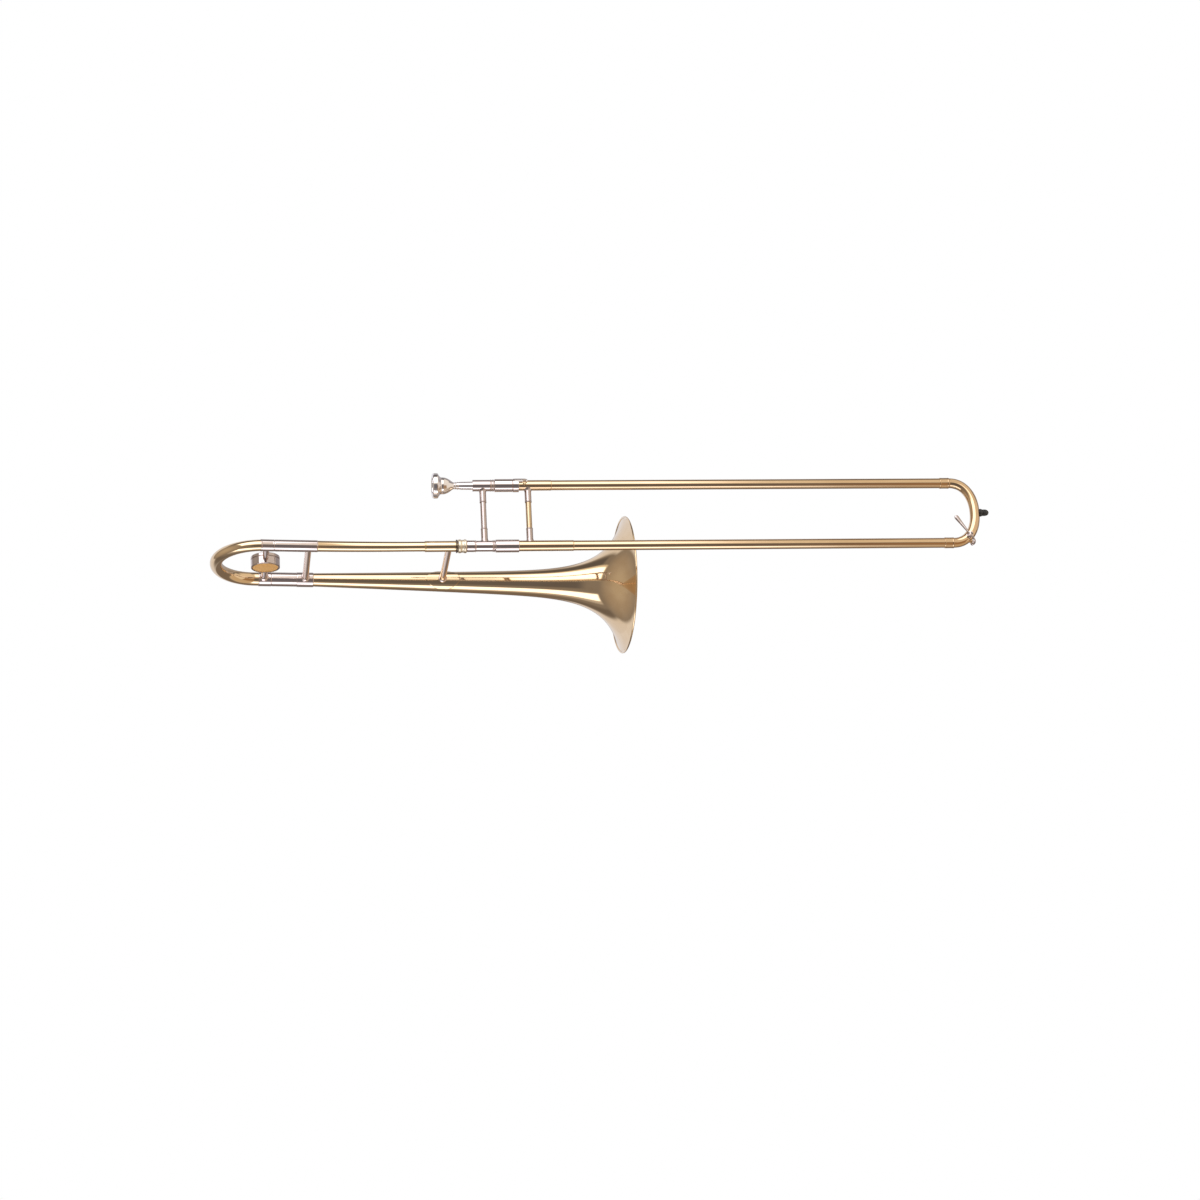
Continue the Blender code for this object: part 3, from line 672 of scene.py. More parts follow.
rubber = moulded_rubber()
bumper_line = Line((0, 0, hand_brace.z), (1, 0, 0), (0, 0, 1))
bumper_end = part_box("slide_bumper")[1].x / mm
outline = [(722.8, 0.0), (722.8, 5.6), (727.6, 5.6), (728.4, 5.0), (729.6, 4.7), (731.4, 4.75), (733.6, 4.7)]
outline += [(735.6, 4.3), (737.2, 3.4), (738.3, 2.1), (bumper_end, 0.7), (bumper_end, 0.0)]
piece = turned("rubber_tip", bumper_line, outline, bored=False, sides=64, ease=0.35)
bow_middle = bow_path[55:96]
scribed(piece, bumper_line, 727.0, 722.8, hull_of_path(bow_middle, bow_radius - 0.03))
fitted(piece, rubber, "outer_slide", "rubber", "slide_bumper")

# ------------------------------------------------------------------ slide lock
# A nickel ring that turns on the upper barrel's nose. Its curved tab has a notch that
# hooks over the stud on the outer slide.

outline = [(43.7, 9.5), (44.0, 9.7), (51.9, 9.7), (52.3, 9.4), (52.3, 8.8), (43.7, 8.8)]
piece = turned("lock_collar", upper_line, outline, sides=96, ease=0.25)
fitted(piece, nickel, "lock_ring", "nickel", "slide_lock_ring")


def cut_plate(corners, low, high, corner_angle, ease):
    """A flat plate cut to its corners, between two heights, with its edges eased."""
    shape = bmesh.new()
    base = shape.faces.new([shape.verts.new((x, y, low)) for x, y in corners])
    top = bmesh.ops.extrude_face_region(shape, geom=[base])["geom"]
    lifted = [item for item in top if isinstance(item, bmesh.types.BMVert)]
    bmesh.ops.translate(shape, verts=lifted, vec=(0, 0, high - low))
    bmesh.ops.recalc_face_normals(shape, faces=shape.faces)
    rims = [e for e in shape.edges if e.calc_face_angle(0) > corner_angle]
    bmesh.ops.bevel(shape, geom=rims, offset=ease, segments=2, affect="EDGES", clamp_overlap=True)
    return shape


def wrapped_plate(name, corners, low, high, line):
    """A cut plate wrapped round a line. Its corners are (station, degrees) pairs."""
    middle = (low + high) / 2
    flat = [(station, math.radians(degrees) * middle) for station, degrees in corners]
    shape = cut_plate(flat, low, high, 0.6, 0.16)
    across = [vert.co.y for vert in shape.verts]
    step = math.radians(3.0) * middle
    cut = min(across) + step
    while cut < max(across):
        everything = shape.verts[:] + shape.edges[:] + shape.faces[:]
        bmesh.ops.bisect_plane(shape, geom=everything, plane_co=(0, cut, 0), plane_no=(0, 1, 0))
        cut += step
    bmesh.ops.triangulate(shape, faces=[f for f in shape.faces if len(f.verts) > 4])
    shape.verts.index_update()
    points, worked = [], []
    for vert in shape.verts:
        station, angle, radius = vert.co.x, vert.co.y / middle, vert.co.z
        points.append(line.point(station, radius, angle))
        worked.append((station * mm, radius * math.cos(angle) * mm, radius * math.sin(angle) * mm))
    faces = [[vert.index for vert in face.verts] for face in shape.faces]
    edges = [0.5 if low + 0.01 < vert.co.z < high - 0.01 else 0.0 for vert in shape.verts]
    shape.free()
    return made(name, points, faces, worked, edges)


away_from_bell = Line(upper_line.start, (1, 0, 0), (0, -1, 0))
tab_corners = [(46.0, -60.0), (46.4, -62.0), (60.6, -62.0), (64.4, -40.0), (64.4, -16.5), (64.0, -15.0)]
tab_corners += [(62.6, -15.0), (62.3, -35.0), (61.6, -37.0), (58.8, -37.0), (58.0, -35.0), (57.8, -15.0)]
tab_corners += [(46.4, -15.0), (46.0, -17.0)]
piece = wrapped_plate("lock_tab", tab_corners, 9.05, 10.05, away_from_bell)
satin_nickel = metal("Satin nickel", (0.96, 0.90, 0.87), (0.78, 0.70, 0.67), 0.33, 0.4, 0.05, 0.5, 0.6, 0.08)
fitted(piece, satin_nickel, "lock_ring", "nickel")

# ------------------------------------------------------------------ water key
# A small drain at the low side of the bow: a brass nipple, a nickel saddle with a steel
# screw and coil spring, and a nickel lever whose cup presses a cork on the nipple.

hinge = next(joint for joint in frame["joints"] if joint["name"] == "water_key_press")
key_along = -Vector(hinge["axis"]).normalized()
key_aside = Vector((0, -1, 0))
key_out = key_along.cross(key_aside).normalized()
key_pivot = Vector(hinge["pos_m"])
pivot_out, pivot_aside = 0.5, 10.6
key_centre = key_pivot - key_out * pivot_out * mm - key_aside * pivot_aside * mm


def at_key(out, along, aside):
    return key_centre + (key_out * out + key_along * along + key_aside * aside) * mm


drain_line = Line(key_centre, key_out, key_along)
hinge_line = Line(key_pivot, key_along, key_out)
near_bow = bow_path[86:141]
outline = [(5.0, 3.1), (8.2, 3.1), (8.7, 2.6), (8.7, 1.7), (5.0, 1.6)]
piece = turned("drain_nipple", drain_line, outline, sides=56)
scribed(piece, drain_line, 8.0, 5.0, hull_of_path(near_bow, bow_radius - 0.1))
fitted(piece, slide_lacquer, "outer_slide", "lacquered_brass", "water_key_nipple")


def natural_cork():
    """Fine grained cork with darker pores."""
    material, tree, shader = new_finish("Cork")
    place = put(tree, "TexCoord").outputs["Object"]
    grain = put(tree, "TexNoise", {"Vector": place, "Scale": 1500.0, "Detail": 6.0}).outputs[0]
    cells = {"Vector": place, "Scale": 1100.0, "Randomness": 1.0}
    pores = put(tree, "TexVoronoi", cells).outputs["Distance"]
    tone = mixed(tree, spread(tree, grain, 0.3, 0.7), (0.42, 0.25, 0.12, 1), (0.66, 0.46, 0.27, 1))
    tone = mixed(tree, spread(tree, pores, 0.28, 0.12), tone, (0.16, 0.08, 0.04, 1))
    surfaced(tree, shader, tone, spread(tree, grain, 0.3, 0.7, 0.75, 0.95), pores, 0.4, 0.0003)
    return material


outline = [(8.9, 0.0), (8.9, 3.0), (11.0, 3.0), (11.0, 0.0)]
piece = turned("key_cork", drain_line, outline, bored=False, sides=48, ease=0.3)
fitted(piece, natural_cork(), "water_key", "cork", "water_key_cork")

lever_points = [(12.9, 0.4, 0.0), (12.6, 1.0, 5.0), (10.0, 1.8, 9.0), (5.5, 2.2, 10.5), (0.5, 2.4, 10.8)]
lever_points += [(-6.0, 3.4, 10.7), (-18.0, 5.1, 10.4), (-30.6, 6.9, 10.0), (-32.0, 7.1, 10.0)]
lever_radii = [1.3, 1.5, 1.5, 1.4, 1.35, 1.6, 2.4, 3.3, 2.8]
lever_path = [at_key(*place) for place in flowing(lever_points, 9)]
radii = [value[0] for value in flowing([(radius, 0.0) for radius in lever_radii], 9)]
lever = drawn("water_key_arm", lever_path, radii, sides=40)
thinned = 0.45
for vert in lever.data.vertices:
    offset = vert.co - key_centre
    inward = -offset.dot(key_out) / mm
    towards_tip = min(max((inward - 4.0) / 18.0, 0.0), 1.0)
    paddle_middle = 10.5 - 0.014 * inward
    height = offset.dot(key_aside) / mm - paddle_middle
    vert.co -= key_aside * height * thinned * towards_tip * mm
lever.data.update()
fitted(lever, handled_nickel_painted_shade, "water_key", "nickel", "water_key_lever")
outline = [(11.1, 0.0), (11.1, 3.3), (9.8, 3.3), (9.8, 3.9), (12.4, 3.9), (13.1, 3.4)]
outline += [(13.5, 2.2), (13.6, 0.0)]
piece = turned("key_cup", drain_line, outline, bored=False, sides=56, ease=0.3)
fitted(piece, nickel, "water_key", "nickel")
outline = [(0.45, 2.15), (3.95, 2.15), (3.95, 1.0), (0.45, 1.0)]
piece = turned("key_knuckle", hinge_line, outline, sides=56, ease=0.25)
fitted(piece, nickel, "water_key", "nickel")


def saddle_ear(name, start, end):
    """An upright ear of the saddle, round at the hinge and running down to its base."""
    corners = [(2.6, 7.0), (2.5, 9.8)]
    for degrees in range(-10, 191, 10):
        angle = math.radians(degrees)
        corners.append((pivot_out + 2.0 * math.cos(angle), pivot_aside + 2.0 * math.sin(angle)))
    corners += [(-1.5, 9.8), (-1.6, 7.0)]
    shape = cut_plate(corners, start, end, 0.8, 0.14)
    bmesh.ops.triangulate(shape, faces=[f for f in shape.faces if len(f.verts) > 4])
    shape.verts.index_update()
    points = [at_key(vert.co.x, vert.co.z, vert.co.y) for vert in shape.verts]
    worked = [tuple(vert.co * mm) for vert in shape.verts]
    faces = [[vert.index for vert in face.verts] for face in shape.faces]
    shape.free()
    return made(name, points, faces, worked, [0.2] * len(points))


ear = saddle_ear("key_saddle_ear", -1.0, 0.1)
fitted(ear, nickel, "outer_slide", "nickel", "water_key_saddle")
fitted(saddle_ear("key_saddle_far_ear", 6.2, 7.2), nickel, "outer_slide", "nickel")
base_line = Line(key_centre, key_along, key_out)
base_corners = [(-1.0, -58.0), (-1.4, -60.0), (-1.4, -118.0), (-1.0, -120.0), (7.2, -120.0), (7.6, -118.0)]
base_corners += [(7.6, -60.0), (7.2, -58.0)]
piece = wrapped_plate("key_saddle_base", base_corners, 7.15, 8.2, base_line)
fitted(piece, nickel, "outer_slide", "nickel")

steel = metal("Spring steel", (0.58, 0.575, 0.57), (0.36, 0.34, 0.33), 0.22, 0.4, 0.08, 0.5, 0.5, 0.05)
outline = [(-2.2, 0.0), (-2.2, 1.0), (-1.9, 1.5), (-1.3, 1.5), (-1.25, 0.6), (7.9, 0.6), (7.9, 0.0)]
piece = turned("key_screw", hinge_line, outline, bored=False, sides=40, ease=0.12)
fitted(piece, steel, "outer_slide", "spring_steel", "water_key_screw")
coil = []
coil_steps = 4 * 28
coil_start, coil_end = 4.25, 5.95
for k in range(coil_steps + 1):
    station = coil_start + 0.2 + (coil_end - coil_start - 0.4) * k / coil_steps
    coil.append(hinge_line.point(station, 1.38, math.tau * k / 28))
piece = drawn("key_spring", coil, [0.19] * len(coil), sides=12)
fitted(piece, steel, "outer_slide", "spring_steel", "water_key_spring")

# ------------------------------------------------------------------ mouthpiece
# Turned from one brass bar and silver plated: a broad cushioned rim, a deep bowl with a
# beaded neck, and a tapered shank that pushes into its socket.

rim = [(-71.4, 12.9), (-72.3, 13.7), (-72.6, 15.0), (-72.35, 16.4), (-71.6, 17.5), (-70.2, 18.1)]
rim += [(-68.0, 18.15), (-65.4, 18.1), (-64.3, 17.6), (-63.6, 16.4), (-62.4, 14.6)]
rim += [(-61.0, 13.0), (-59.6, 12.15)]
bowl = [(-57.5, 12.15), (-54.5, 11.85), (-51.5, 10.9), (-48.5, 9.4), (-45.8, 7.5), (-43.6, 5.9), (-42.2, 5.1)]
collar_beads = [(-41.6, 4.75), (-40.8, 4.7), (-40.2, 5.0), (-39.6, 5.35), (-39.0, 5.2), (-38.4, 4.85)]
collar_beads += [(-37.7, 4.9), (-37.1, 5.3), (-36.4, 5.5), (-35.6, 5.4), (-34.8, 5.1)]
neck = [(-33.0, 5.35), (-30.5, 5.6), (-24.0, 5.7), (-15.2, 5.85)]
outer_wall = [tuple(place) for place in flowing(rim + bowl + collar_beads + neck, 4)]
outer_wall += [(8.0, 5.58), (8.4, 5.4)]
cup = [(8.4, 4.95), (-20.0, 4.1), (-40.0, 3.35), (-46.0, 3.25), (-48.4, 3.35), (-50.2, 4.2), (-52.4, 5.9)]
cup += [(-55.6, 7.9), (-59.6, 9.9), (-64.0, 11.3), (-68.0, 12.2), (-70.4, 12.6)]
inner_wall = [tuple(place) for place in flowing(cup, 4)]
silver_tones = (0.97, 0.92, 0.92), (0.84, 0.78, 0.77)
silver_plate = metal("Silver plate", *silver_tones, 0.07, 0.28, 0.03, 0.5, 0.35, 0.005)
piece = turned("silver_mouthpiece", upper_line, outer_wall + inner_wall, sides=112, ease=0.2)
fitted(piece, silver_plate, "mouthpiece", "nickel", "mouthpiece")

# ------------------------------------------------------------------ bell lock nut
# A bare brass nut that draws the bell's tapered tenon into its socket. It is waisted, with
# a band of straight knurling at each end for the fingers.


def knurled(obj, line, bands, grooves, depth, least_radius):
    """Presses straight knurling into a piece's outside, in bands between pairs of stations."""
    for vert in obj.data.vertices:
        station = line.station_of(vert.co)
        if line.out_of(vert.co) < least_radius:
            continue
        for start, end in bands:
            fade = min(max(min(station - start, end - station) / 0.35, 0.0), 1.0)
            if not fade:
                continue
            offset = vert.co - line.start - line.along * station * mm
            angle = math.atan2(offset.dot(line.third), offset.dot(line.side))
            press = depth * fade * (0.5 - 0.5 * math.cos(grooves * angle))
            vert.co -= offset.normalized() * press * mm
    obj.data.update()


satin_brass = metal("Satin brass", (1.0, 0.90, 0.73), (0.94, 0.78, 0.57), 0.42, 0.3, 0.05, 0.5, 0.4, 0.02)
outline = [(-38.6, 8.9), (-38.2, 9.3), (-37.8, 9.8), (-37.3, 9.85), (-36.8, 9.85), (-36.3, 9.85)]
outline += [(-35.8, 9.85), (-35.3, 9.85), (-34.8, 9.8), (-34.4, 9.4), (-33.4, 9.1), (-32.4, 9.0)]
outline += [(-31.4, 9.1), (-30.4, 9.4), (-30.0, 9.8), (-29.5, 9.85), (-29.0, 9.85), (-28.5, 9.85)]
outline += [(-28.0, 9.85), (-27.5, 9.85), (-27.0, 9.8), (-26.6, 9.3), (-26.2, 8.9)]
outline += [(-26.2, 8.2), (-38.6, 8.2)]
piece = turned("knurled_nut", lower_line, outline, sides=240, ease=0.1)
knurled(piece, lower_line, [(-38.1, -34.5), (-30.3, -26.7)], grooves=80, depth=0.04, least_radius=9.2)
fitted(piece, satin_brass, "lock_nut", "plain_brass", "bell_lock_nut")

# ------------------------------------------------------------------ neck
# The bell's tapered brass tenon with its collar, a lacquered sleeve, and the gooseneck: a
# thin tube that swings out to the tuning slide. Stations along the bell start level with
# the hand brace and grow towards the rim, in millimetres.

outline = [(-60.0, 7.1), (-39.0, 7.1), (-38.2, 6.95), (-16.4, 6.6), (-16.4, 5.9), (-60.0, 5.9)]
piece = turned("tapered_tenon", lower_line, outline)
fitted(piece, bare_brass, "bell_section", "plain_brass", "bell_tenon")
# The tenon collar's flange is coloured dark as painted shade. It stands in for the shadow in the gap between
# the neck and the nut.
flange_painted_shade = metal("Dark flange, painted shade", (0.23, 0.18, 0.15), (0.12, 0.09, 0.08), 0.38, 0.5, 0.05, 0.4, 0.4, 0.03)
outline = tube_outline(-41.2, -39.4, 9.6, 7.4)
piece = turned("tenon_flange", lower_line, outline, sides=80, ease=0.35)
fitted(piece, flange_painted_shade, "bell_section", "plain_brass", "tenon_collar")
outline = [(-86.2, 7.5), (-85.7, 7.95), (-84.6, 7.95), (-84.4, 7.84), (-43.2, 7.84), (-43.0, 7.95)]
outline += [(-41.9, 7.95), (-41.5, 7.6), (-41.5, 7.35), (-86.2, 7.35)]
piece = turned("neck_socket", lower_line, outline, sides=88)
gold_tones = (0.87, 0.655, 0.415), (0.72, 0.49, 0.26)
gold_lacquer = metal("Lacquered brass", *gold_tones, 0.05, 0.28, 0.03, 0.45, 0.3, 0.005, 0.35)
fitted(piece, gold_lacquer, "bell_section", "lacquered_brass", "neck_sleeve")

rim_mount = next(mount for mount in frame["record"]["mounts"] if mount["name"] == "bell_rim")
bell_way = Vector(rim_mount["axis"]).normalized()
rim_face = 221.293
leg_spacing = 140.0
rim_centre = Vector((*rim_mount["pos_m"][:2], lower_line.start.z))
bell_start = rim_centre - bell_way * rim_face * mm
bell_line = Line(bell_start, bell_way, (0, 0, 1))
toward_slide = Vector((bell_way.y, -bell_way.x, 0))
leg_line = Line(bell_start + toward_slide * leg_spacing * mm, bell_way, (0, 0, 1))

bend_start, bend_end = -110.0, -248.0
neck_corner = leg_line.point(-186.3)
neck_run = [lower_line.point(-61.5), lower_line.point(-95.0), lower_line.point(bend_start)]
neck_rest = leg_line.point(-245.0)
for k in range(1, 61):
    t = k / 60
    neck_run.append(neck_run[2] * (1 - t) ** 2 + neck_corner * 2 * t * (1 - t) + neck_rest * t * t)
neck_run.append(leg_line.point(-258.0))
neck_run = evenly(neck_run, 120)
radii = []
for place in neck_run:
    taper = (lower_line.station_of(place) - bend_start) / (bend_end - bend_start)
    radii.append(7.05 + 0.8 * min(max(taper, 0.0), 1.0))
piece = drawn("neck_pipe", neck_run, radii, [radius - 0.5 for radius in radii], sides=88)
fitted(piece, gold_lacquer, "bell_section", "lacquered_brass", "gooseneck")
outline = [(-310.6, 8.3), (-310.2, 8.45), (-250.2, 8.45), (-249.6, 8.3), (-249.0, 8.15)]
outline += [(-249.0, 8.02), (-310.6, 8.02)]
piece = turned("upper_slide_sleeve", leg_line, outline, sides=88, ease=0.15)
fitted(piece, nickel, "bell_section", "nickel", "upper_tuning_sleeve")

# ------------------------------------------------------------------ bell
# One sheet of brass spun from a slim tail to a wide flare, lacquered inside and out, with
# its edge rolled over a wire. A nickel ferrule and sleeve join it to the tuning slide.


def bell_radius(station):
    """Outside radius: a gently tapered tail that opens into the flare."""
    along = (station + 262.0) / 482.4
    flare = 34.5 / ((244.7 - station) / 26.0) ** 1.4
    return 8.62 + 11.0 * along + 44.1 * max(along, 0.0) ** 12.17 + flare


def buffed_bell():
    """The bell's lacquered brass, with hammering and spinning lines that run round it."""
    material = gold_lacquer.copy()
    material.name = "Lacquered bell brass"
    tree = material.node_tree
    polish = next(node for node in tree.nodes if node.type == "GROUP")
    relief = next(node for node in tree.nodes if node.type == "BUMP")
    worked = put(tree, "Attribute", attribute_name="worked").outputs["Vector"]
    waves = []
    for stretch, detail, weight in (((420, 5, 5), 2.0, 0.9), ((26, 26, 26), 1.0, 10.0)):
        place = put(tree, "Mapping", {"Vector": worked, "Scale": stretch}).outputs[0]
        wave = put(tree, "TexNoise", {"Vector": place, "Scale": 1.0, "Detail": detail}).outputs[0]
        waves.append(math_node(tree, "MULTIPLY", wave, weight))
    height = math_node(tree, "ADD", *waves)
    height = math_node(tree, "ADD", height, polish.outputs["Height"])
    tree.links.new(height, relief.inputs["Height"])
    return material


bell_brass = buffed_bell()
bell_tail = -259.7
bell_edge = 219.4
bell_wall = 0.6
stations = []
for k in range(171):
    share = k / 170
    stations.append(bell_tail + (bell_edge - bell_tail) * (1 - (1 - share) ** 1.9))
outer_wall = [(station, bell_radius(station)) for station in stations]
inner_wall = []
for station, radius in reversed(outer_wall):
    slope = (bell_radius(station + 0.05) - bell_radius(station - 0.05)) / 0.1
    length = math.hypot(1.0, slope)
    inner_wall.append((station + bell_wall * slope / length, radius - bell_wall / length))
piece = turned("spun_bell", bell_line, outer_wall + inner_wall, sides=192, ease=0.0)
fitted(piece, bell_brass, "bell_section", "lacquered_brass", "bell")

wire_station, wire_ring, wire_radius = 220.0, 100.1, 1.4
narrowed = 0.923
roll = []
for k in range(28):
    angle = math.tau * k / 28
    outermost = math.cos(angle) > 0.93
    reach = wire_radius * (narrowed if outermost else 1.0)
    station = min(wire_station + reach * math.sin(angle), rim_face)
    roll.append((station, wire_ring + wire_radius * math.cos(angle)))
piece = turned("rolled_rim", bell_line, roll, sides=224, ease=0.0)
fitted(piece, bell_brass, "bell_section", "lacquered_brass", "bell_rim_wire")

outline = [(-265.0, 10.3), (-264.6, 10.6), (-241.1, 10.6), (-240.6, 10.35), (-240.5, 10.1)]
outline += [(-240.5, 9.9), (-260.1, 9.4), (-265.0, 10.2)]
piece = turned("bell_tail_band", bell_line, outline, sides=88, ease=0.15)
fitted(piece, nickel, "bell_section", "nickel", "bell_tail_ferrule")
outline = [(-301.6, 10.0), (-301.2, 10.15), (-260.9, 10.15), (-260.5, 10.0), (-260.5, 9.72), (-301.6, 9.72)]
piece = turned("lower_slide_sleeve", bell_line, outline, sides=88, ease=0.12)
fitted(piece, nickel, "bell_section", "nickel", "lower_tuning_sleeve")

# ------------------------------------------------------------------ bell braces
# Two nickel bars from the neck to the bell. Each ends in a round foot on the bell's side,
# and the front one stands on a brass patch that spreads its load over the thin bell.

bar_radius, bar_bore = 4.65, 4.0
patch_lift = 1.0


def patch_reach(share):
    """Half the patch's angle round the bell, at a share of its length from its middle."""
    beyond = max(abs(share) - 0.2, 0.0) / 0.8
    rounding = math.sqrt(max(1 - abs(share) ** 9, 0.0))
    return math.radians((68.0 - 52.0 * beyond**1.25) * rounding)


def patch_plate(middle, half_length):
    """A thin plate that lies round the bell, with its edge eased. It faces the slide."""
    points, worked, edges = [], [], []
    rows, across = 44, 40
    layers = []
    for lift, inset in ((0.25, 0.0), (patch_lift - 0.12, 0.0), (patch_lift, 0.035)):
        layer = []
        for i in range(rows + 1):
            share = math.sin(math.pi / 2 * (2 * i / rows - 1))
            station = middle + share * half_length * (1 - inset * 0.6)
            radius = bell_radius(station) + lift
            reach = patch_reach(share) * (1 - inset * 0.5)
            row = []
            for k in range(across + 1):
                angle = reach * (2 * k / across - 1) + math.pi / 2
                row.append(len(points))
                points.append(bell_line.point(station, radius, angle))
                worked.append((station * mm, radius * math.cos(angle) * mm, radius * math.sin(angle) * mm))
                edges.append(1.0 if k in (0, across) or i in (0, rows) else 0.0)
            layer.append(row)
        layers.append(layer)
    faces = []
    for layer in (layers[0], layers[2]):
        for row, after in zip(layer, layer[1:]):
            for k in range(across):
                faces.append((row[k], row[k + 1], after[k + 1], after[k]))
    for under, over in zip(layers, layers[1:]):
        for i in range(rows):
            for k in (0, across):
                faces.append((under[i][k], under[i + 1][k], over[i + 1][k], over[i][k]))
        for i in (0, rows):
            for k in range(across):
                faces.append((under[i][k], under[i][k + 1], over[i][k + 1], over[i][k]))
    piece = made("bell_patch", points, faces, worked, edges)
    shape = bmesh.new()
    shape.from_mesh(piece.data)
    bmesh.ops.remove_doubles(shape, verts=shape.verts, dist=0.000002)
    bmesh.ops.dissolve_degenerate(shape, dist=0.000001, edges=shape.edges)
    shape.to_mesh(piece.data)
    shape.free()
    return piece


piece = patch_plate(middle_of("front_bell_brace").x / mm - 0.4, 25.8)
fitted(piece, gold_lacquer, "bell_section", "lacquered_brass", "bell_patch_plate")

brace_tones = (0.95, 0.78, 0.68), (0.72, 0.58, 0.49)
brace_nickel = metal("Bell brace nickel", *brace_tones, 0.11, 0.35, 0.06, 0.6, 0.5, 0.01)
patch_hull = hull(bell_line, lambda station: bell_radius(station) + patch_lift - 0.04)
neck_hull = hull(lower_line, 7.80)
sleeve_hull = hull(leg_line, 8.41)
tail_hull = hull(bell_line, 10.56)
for name, near, far, foot_start, near_hull, far_hull in (
    ("rear_bell_brace", 1.0, 128.0, 121.2, sleeve_hull, tail_hull),
    ("front_bell_brace", 6.0, 136.0, 130.4, neck_hull, patch_hull),
):
    bar_line = Line((middle_of(name).x, 0, lower_line.start.z), (0, 1, 0), (1, 0, 0))
    outline = tube_outline(near, far, bar_radius, bar_bore)
    piece = turned(name + "_bar", bar_line, outline, sides=80, ease=0.0)
    scribed(piece, bar_line, 30.0, near, near_hull)
    scribed(piece, bar_line, 100.0, far, far_hull)
    fitted(piece, brace_nickel, "bell_section", "nickel", name)
    swelling = ((0.0, 4.7), (0.2, 5.2), (0.9, 5.75), (1.6, 6.2), (2.2, 6.4))
    outline = [(foot_start + step, radius) for step, radius in swelling]
    outline += [(far, 6.4), (far, bar_radius + 0.02)]
    piece = turned(name + "_flange", bar_line, outline, sides=96, ease=0.2)
    scribed(piece, bar_line, foot_start + 2.3, far, far_hull)
    fitted(piece, nickel, "bell_section", "nickel", name + "_foot")

# ------------------------------------------------------------------ tuning slide
# A lacquered brass crook on two nickel legs that slide in the bell section's sleeves,
# with a nickel ferrule where each leg meets the crook.

crook_start = -325.5
crook_depth = 61.5
crook_small, crook_large = 8.0, 9.7
crook_path = [leg_line.point(-319.5)]
for out, across in half_round(crook_depth, leg_spacing / 2, 2.0):
    station = crook_start - out
    crook_path.append(bell_line.point(station) + toward_slide * (leg_spacing / 2 + across) * mm)
crook_path.append(bell_line.point(-313.0))
crook_path = evenly(crook_path, 160)
radii = [crook_small + (crook_large - crook_small) * k / 160 for k in range(161)]
piece = drawn("crook_tube", crook_path, radii, [radius - 0.6 for radius in radii], 96)
fitted(piece, gold_lacquer, "tuning_slide", "lacquered_brass", "tuning_crook")
outline = [(-330.0, 8.6), (-329.7, 8.78), (-328.4, 8.74), (-328.2, 8.62), (-312.4, 8.48), (-312.2, 8.55)]
outline += [(-311.4, 8.55), (-311.0, 8.4), (-311.0, 7.95), (-319.1, 8.0), (-319.2, 8.2), (-330.0, 8.45)]
piece = turned("upper_crook_band", leg_line, outline, sides=88, ease=0.12)
fitted(piece, nickel, "tuning_slide", "nickel", "upper_crook_ferrule")
outline = [(-320.5, 10.1), (-320.1, 10.45), (-318.9, 10.45), (-318.7, 10.3), (-303.8, 10.3), (-303.6, 10.45)]
outline += [(-302.4, 10.45), (-301.9, 10.1), (-301.9, 9.7), (-312.5, 9.7), (-312.6, 9.86), (-320.5, 9.86)]
piece = turned("lower_crook_band", bell_line, outline, sides=88, ease=0.15)
fitted(piece, nickel, "tuning_slide", "nickel", "lower_crook_ferrule")
piece = turned("upper_slide_leg", leg_line, tube_outline(-318.6, -262.0, 7.9, 7.4), ease=0.15)
fitted(piece, nickel, "tuning_slide", "nickel", "upper_tuning_leg")
piece = turned("lower_slide_leg", bell_line, tube_outline(-312.0, -261.5, 9.6, 9.0), ease=0.15)
fitted(piece, nickel, "tuning_slide", "nickel", "lower_tuning_leg")

# ------------------------------------------------------------------ counterweight
# A nickel plated drum that balances the bell, grooved round its wall and let in
# underneath for an amber enamel disc. A short bar on each side ties it to the legs.

weight_low, weight_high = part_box("counterweight")
weight_centre = (weight_low + weight_high) / 2
weight_radius = (weight_high.x - weight_low.x) / 2 / mm
half_height = (weight_high.z - weight_low.z) / 2 / mm
drum_line = Line(weight_centre, (0, 0, 1), (1, 0, 0))
groove = half_height - 5.1
outline = [(-half_height, 20.1), (-half_height + 0.5, weight_radius), (groove - 0.6, weight_radius)]
outline += [(groove - 0.45, 19.6), (groove + 0.45, 19.6), (groove + 0.6, weight_radius)]
outline += [(half_height - 0.8, weight_radius), (half_height, 20.0), (half_height, 17.6)]
outline += [(half_height - 0.25, 17.3), (half_height - 0.25, 0.0)]
under = [(-half_height + 1.72, 0.0), (-half_height + 1.72, 18.8), (-half_height, 18.9)]
piece = turned("balance_drum", drum_line, under + outline, bored=False, sides=144, ease=0.25)
soft_tones = (0.70, 0.605, 0.58), (0.50, 0.42, 0.395)
soft_nickel = metal("Soft nickel plate", *soft_tones, 0.11, 0.35, 0.06, 0.6, 0.5, 0.01)
fitted(piece, soft_nickel, "tuning_slide", "nickel", "counterweight")


def fired_enamel():
    """Warm amber enamel with a satin gloss, a little deeper where it pools and at its edge."""
    material, tree, shader = new_finish("Amber enamel")
    place = put(tree, "TexCoord").outputs["Object"]
    pool = put(tree, "TexNoise", {"Vector": place, "Scale": 55.0, "Detail": 2.0}).outputs[0]
    grain = put(tree, "TexNoise", {"Vector": place, "Scale": 2500.0, "Detail": 2.0}).outputs[0]
    edge = put(tree, "Attribute", attribute_name="edge").outputs["Fac"]
    tone = mixed(tree, spread(tree, pool, 0.3, 0.7), (0.70, 0.365, 0.10, 1), (0.76, 0.415, 0.125, 1))
    tone = mixed(tree, math_node(tree, "MULTIPLY", edge, 0.6), tone, (0.36, 0.16, 0.04, 1))
    surfaced(tree, shader, tone, spread(tree, pool, 0.3, 0.7, 0.30, 0.42), grain, 0.05, 0.0001)
    shader.inputs["Coat Weight"].default_value = 0.25
    shader.inputs["Coat Roughness"].default_value = 0.1
    return material


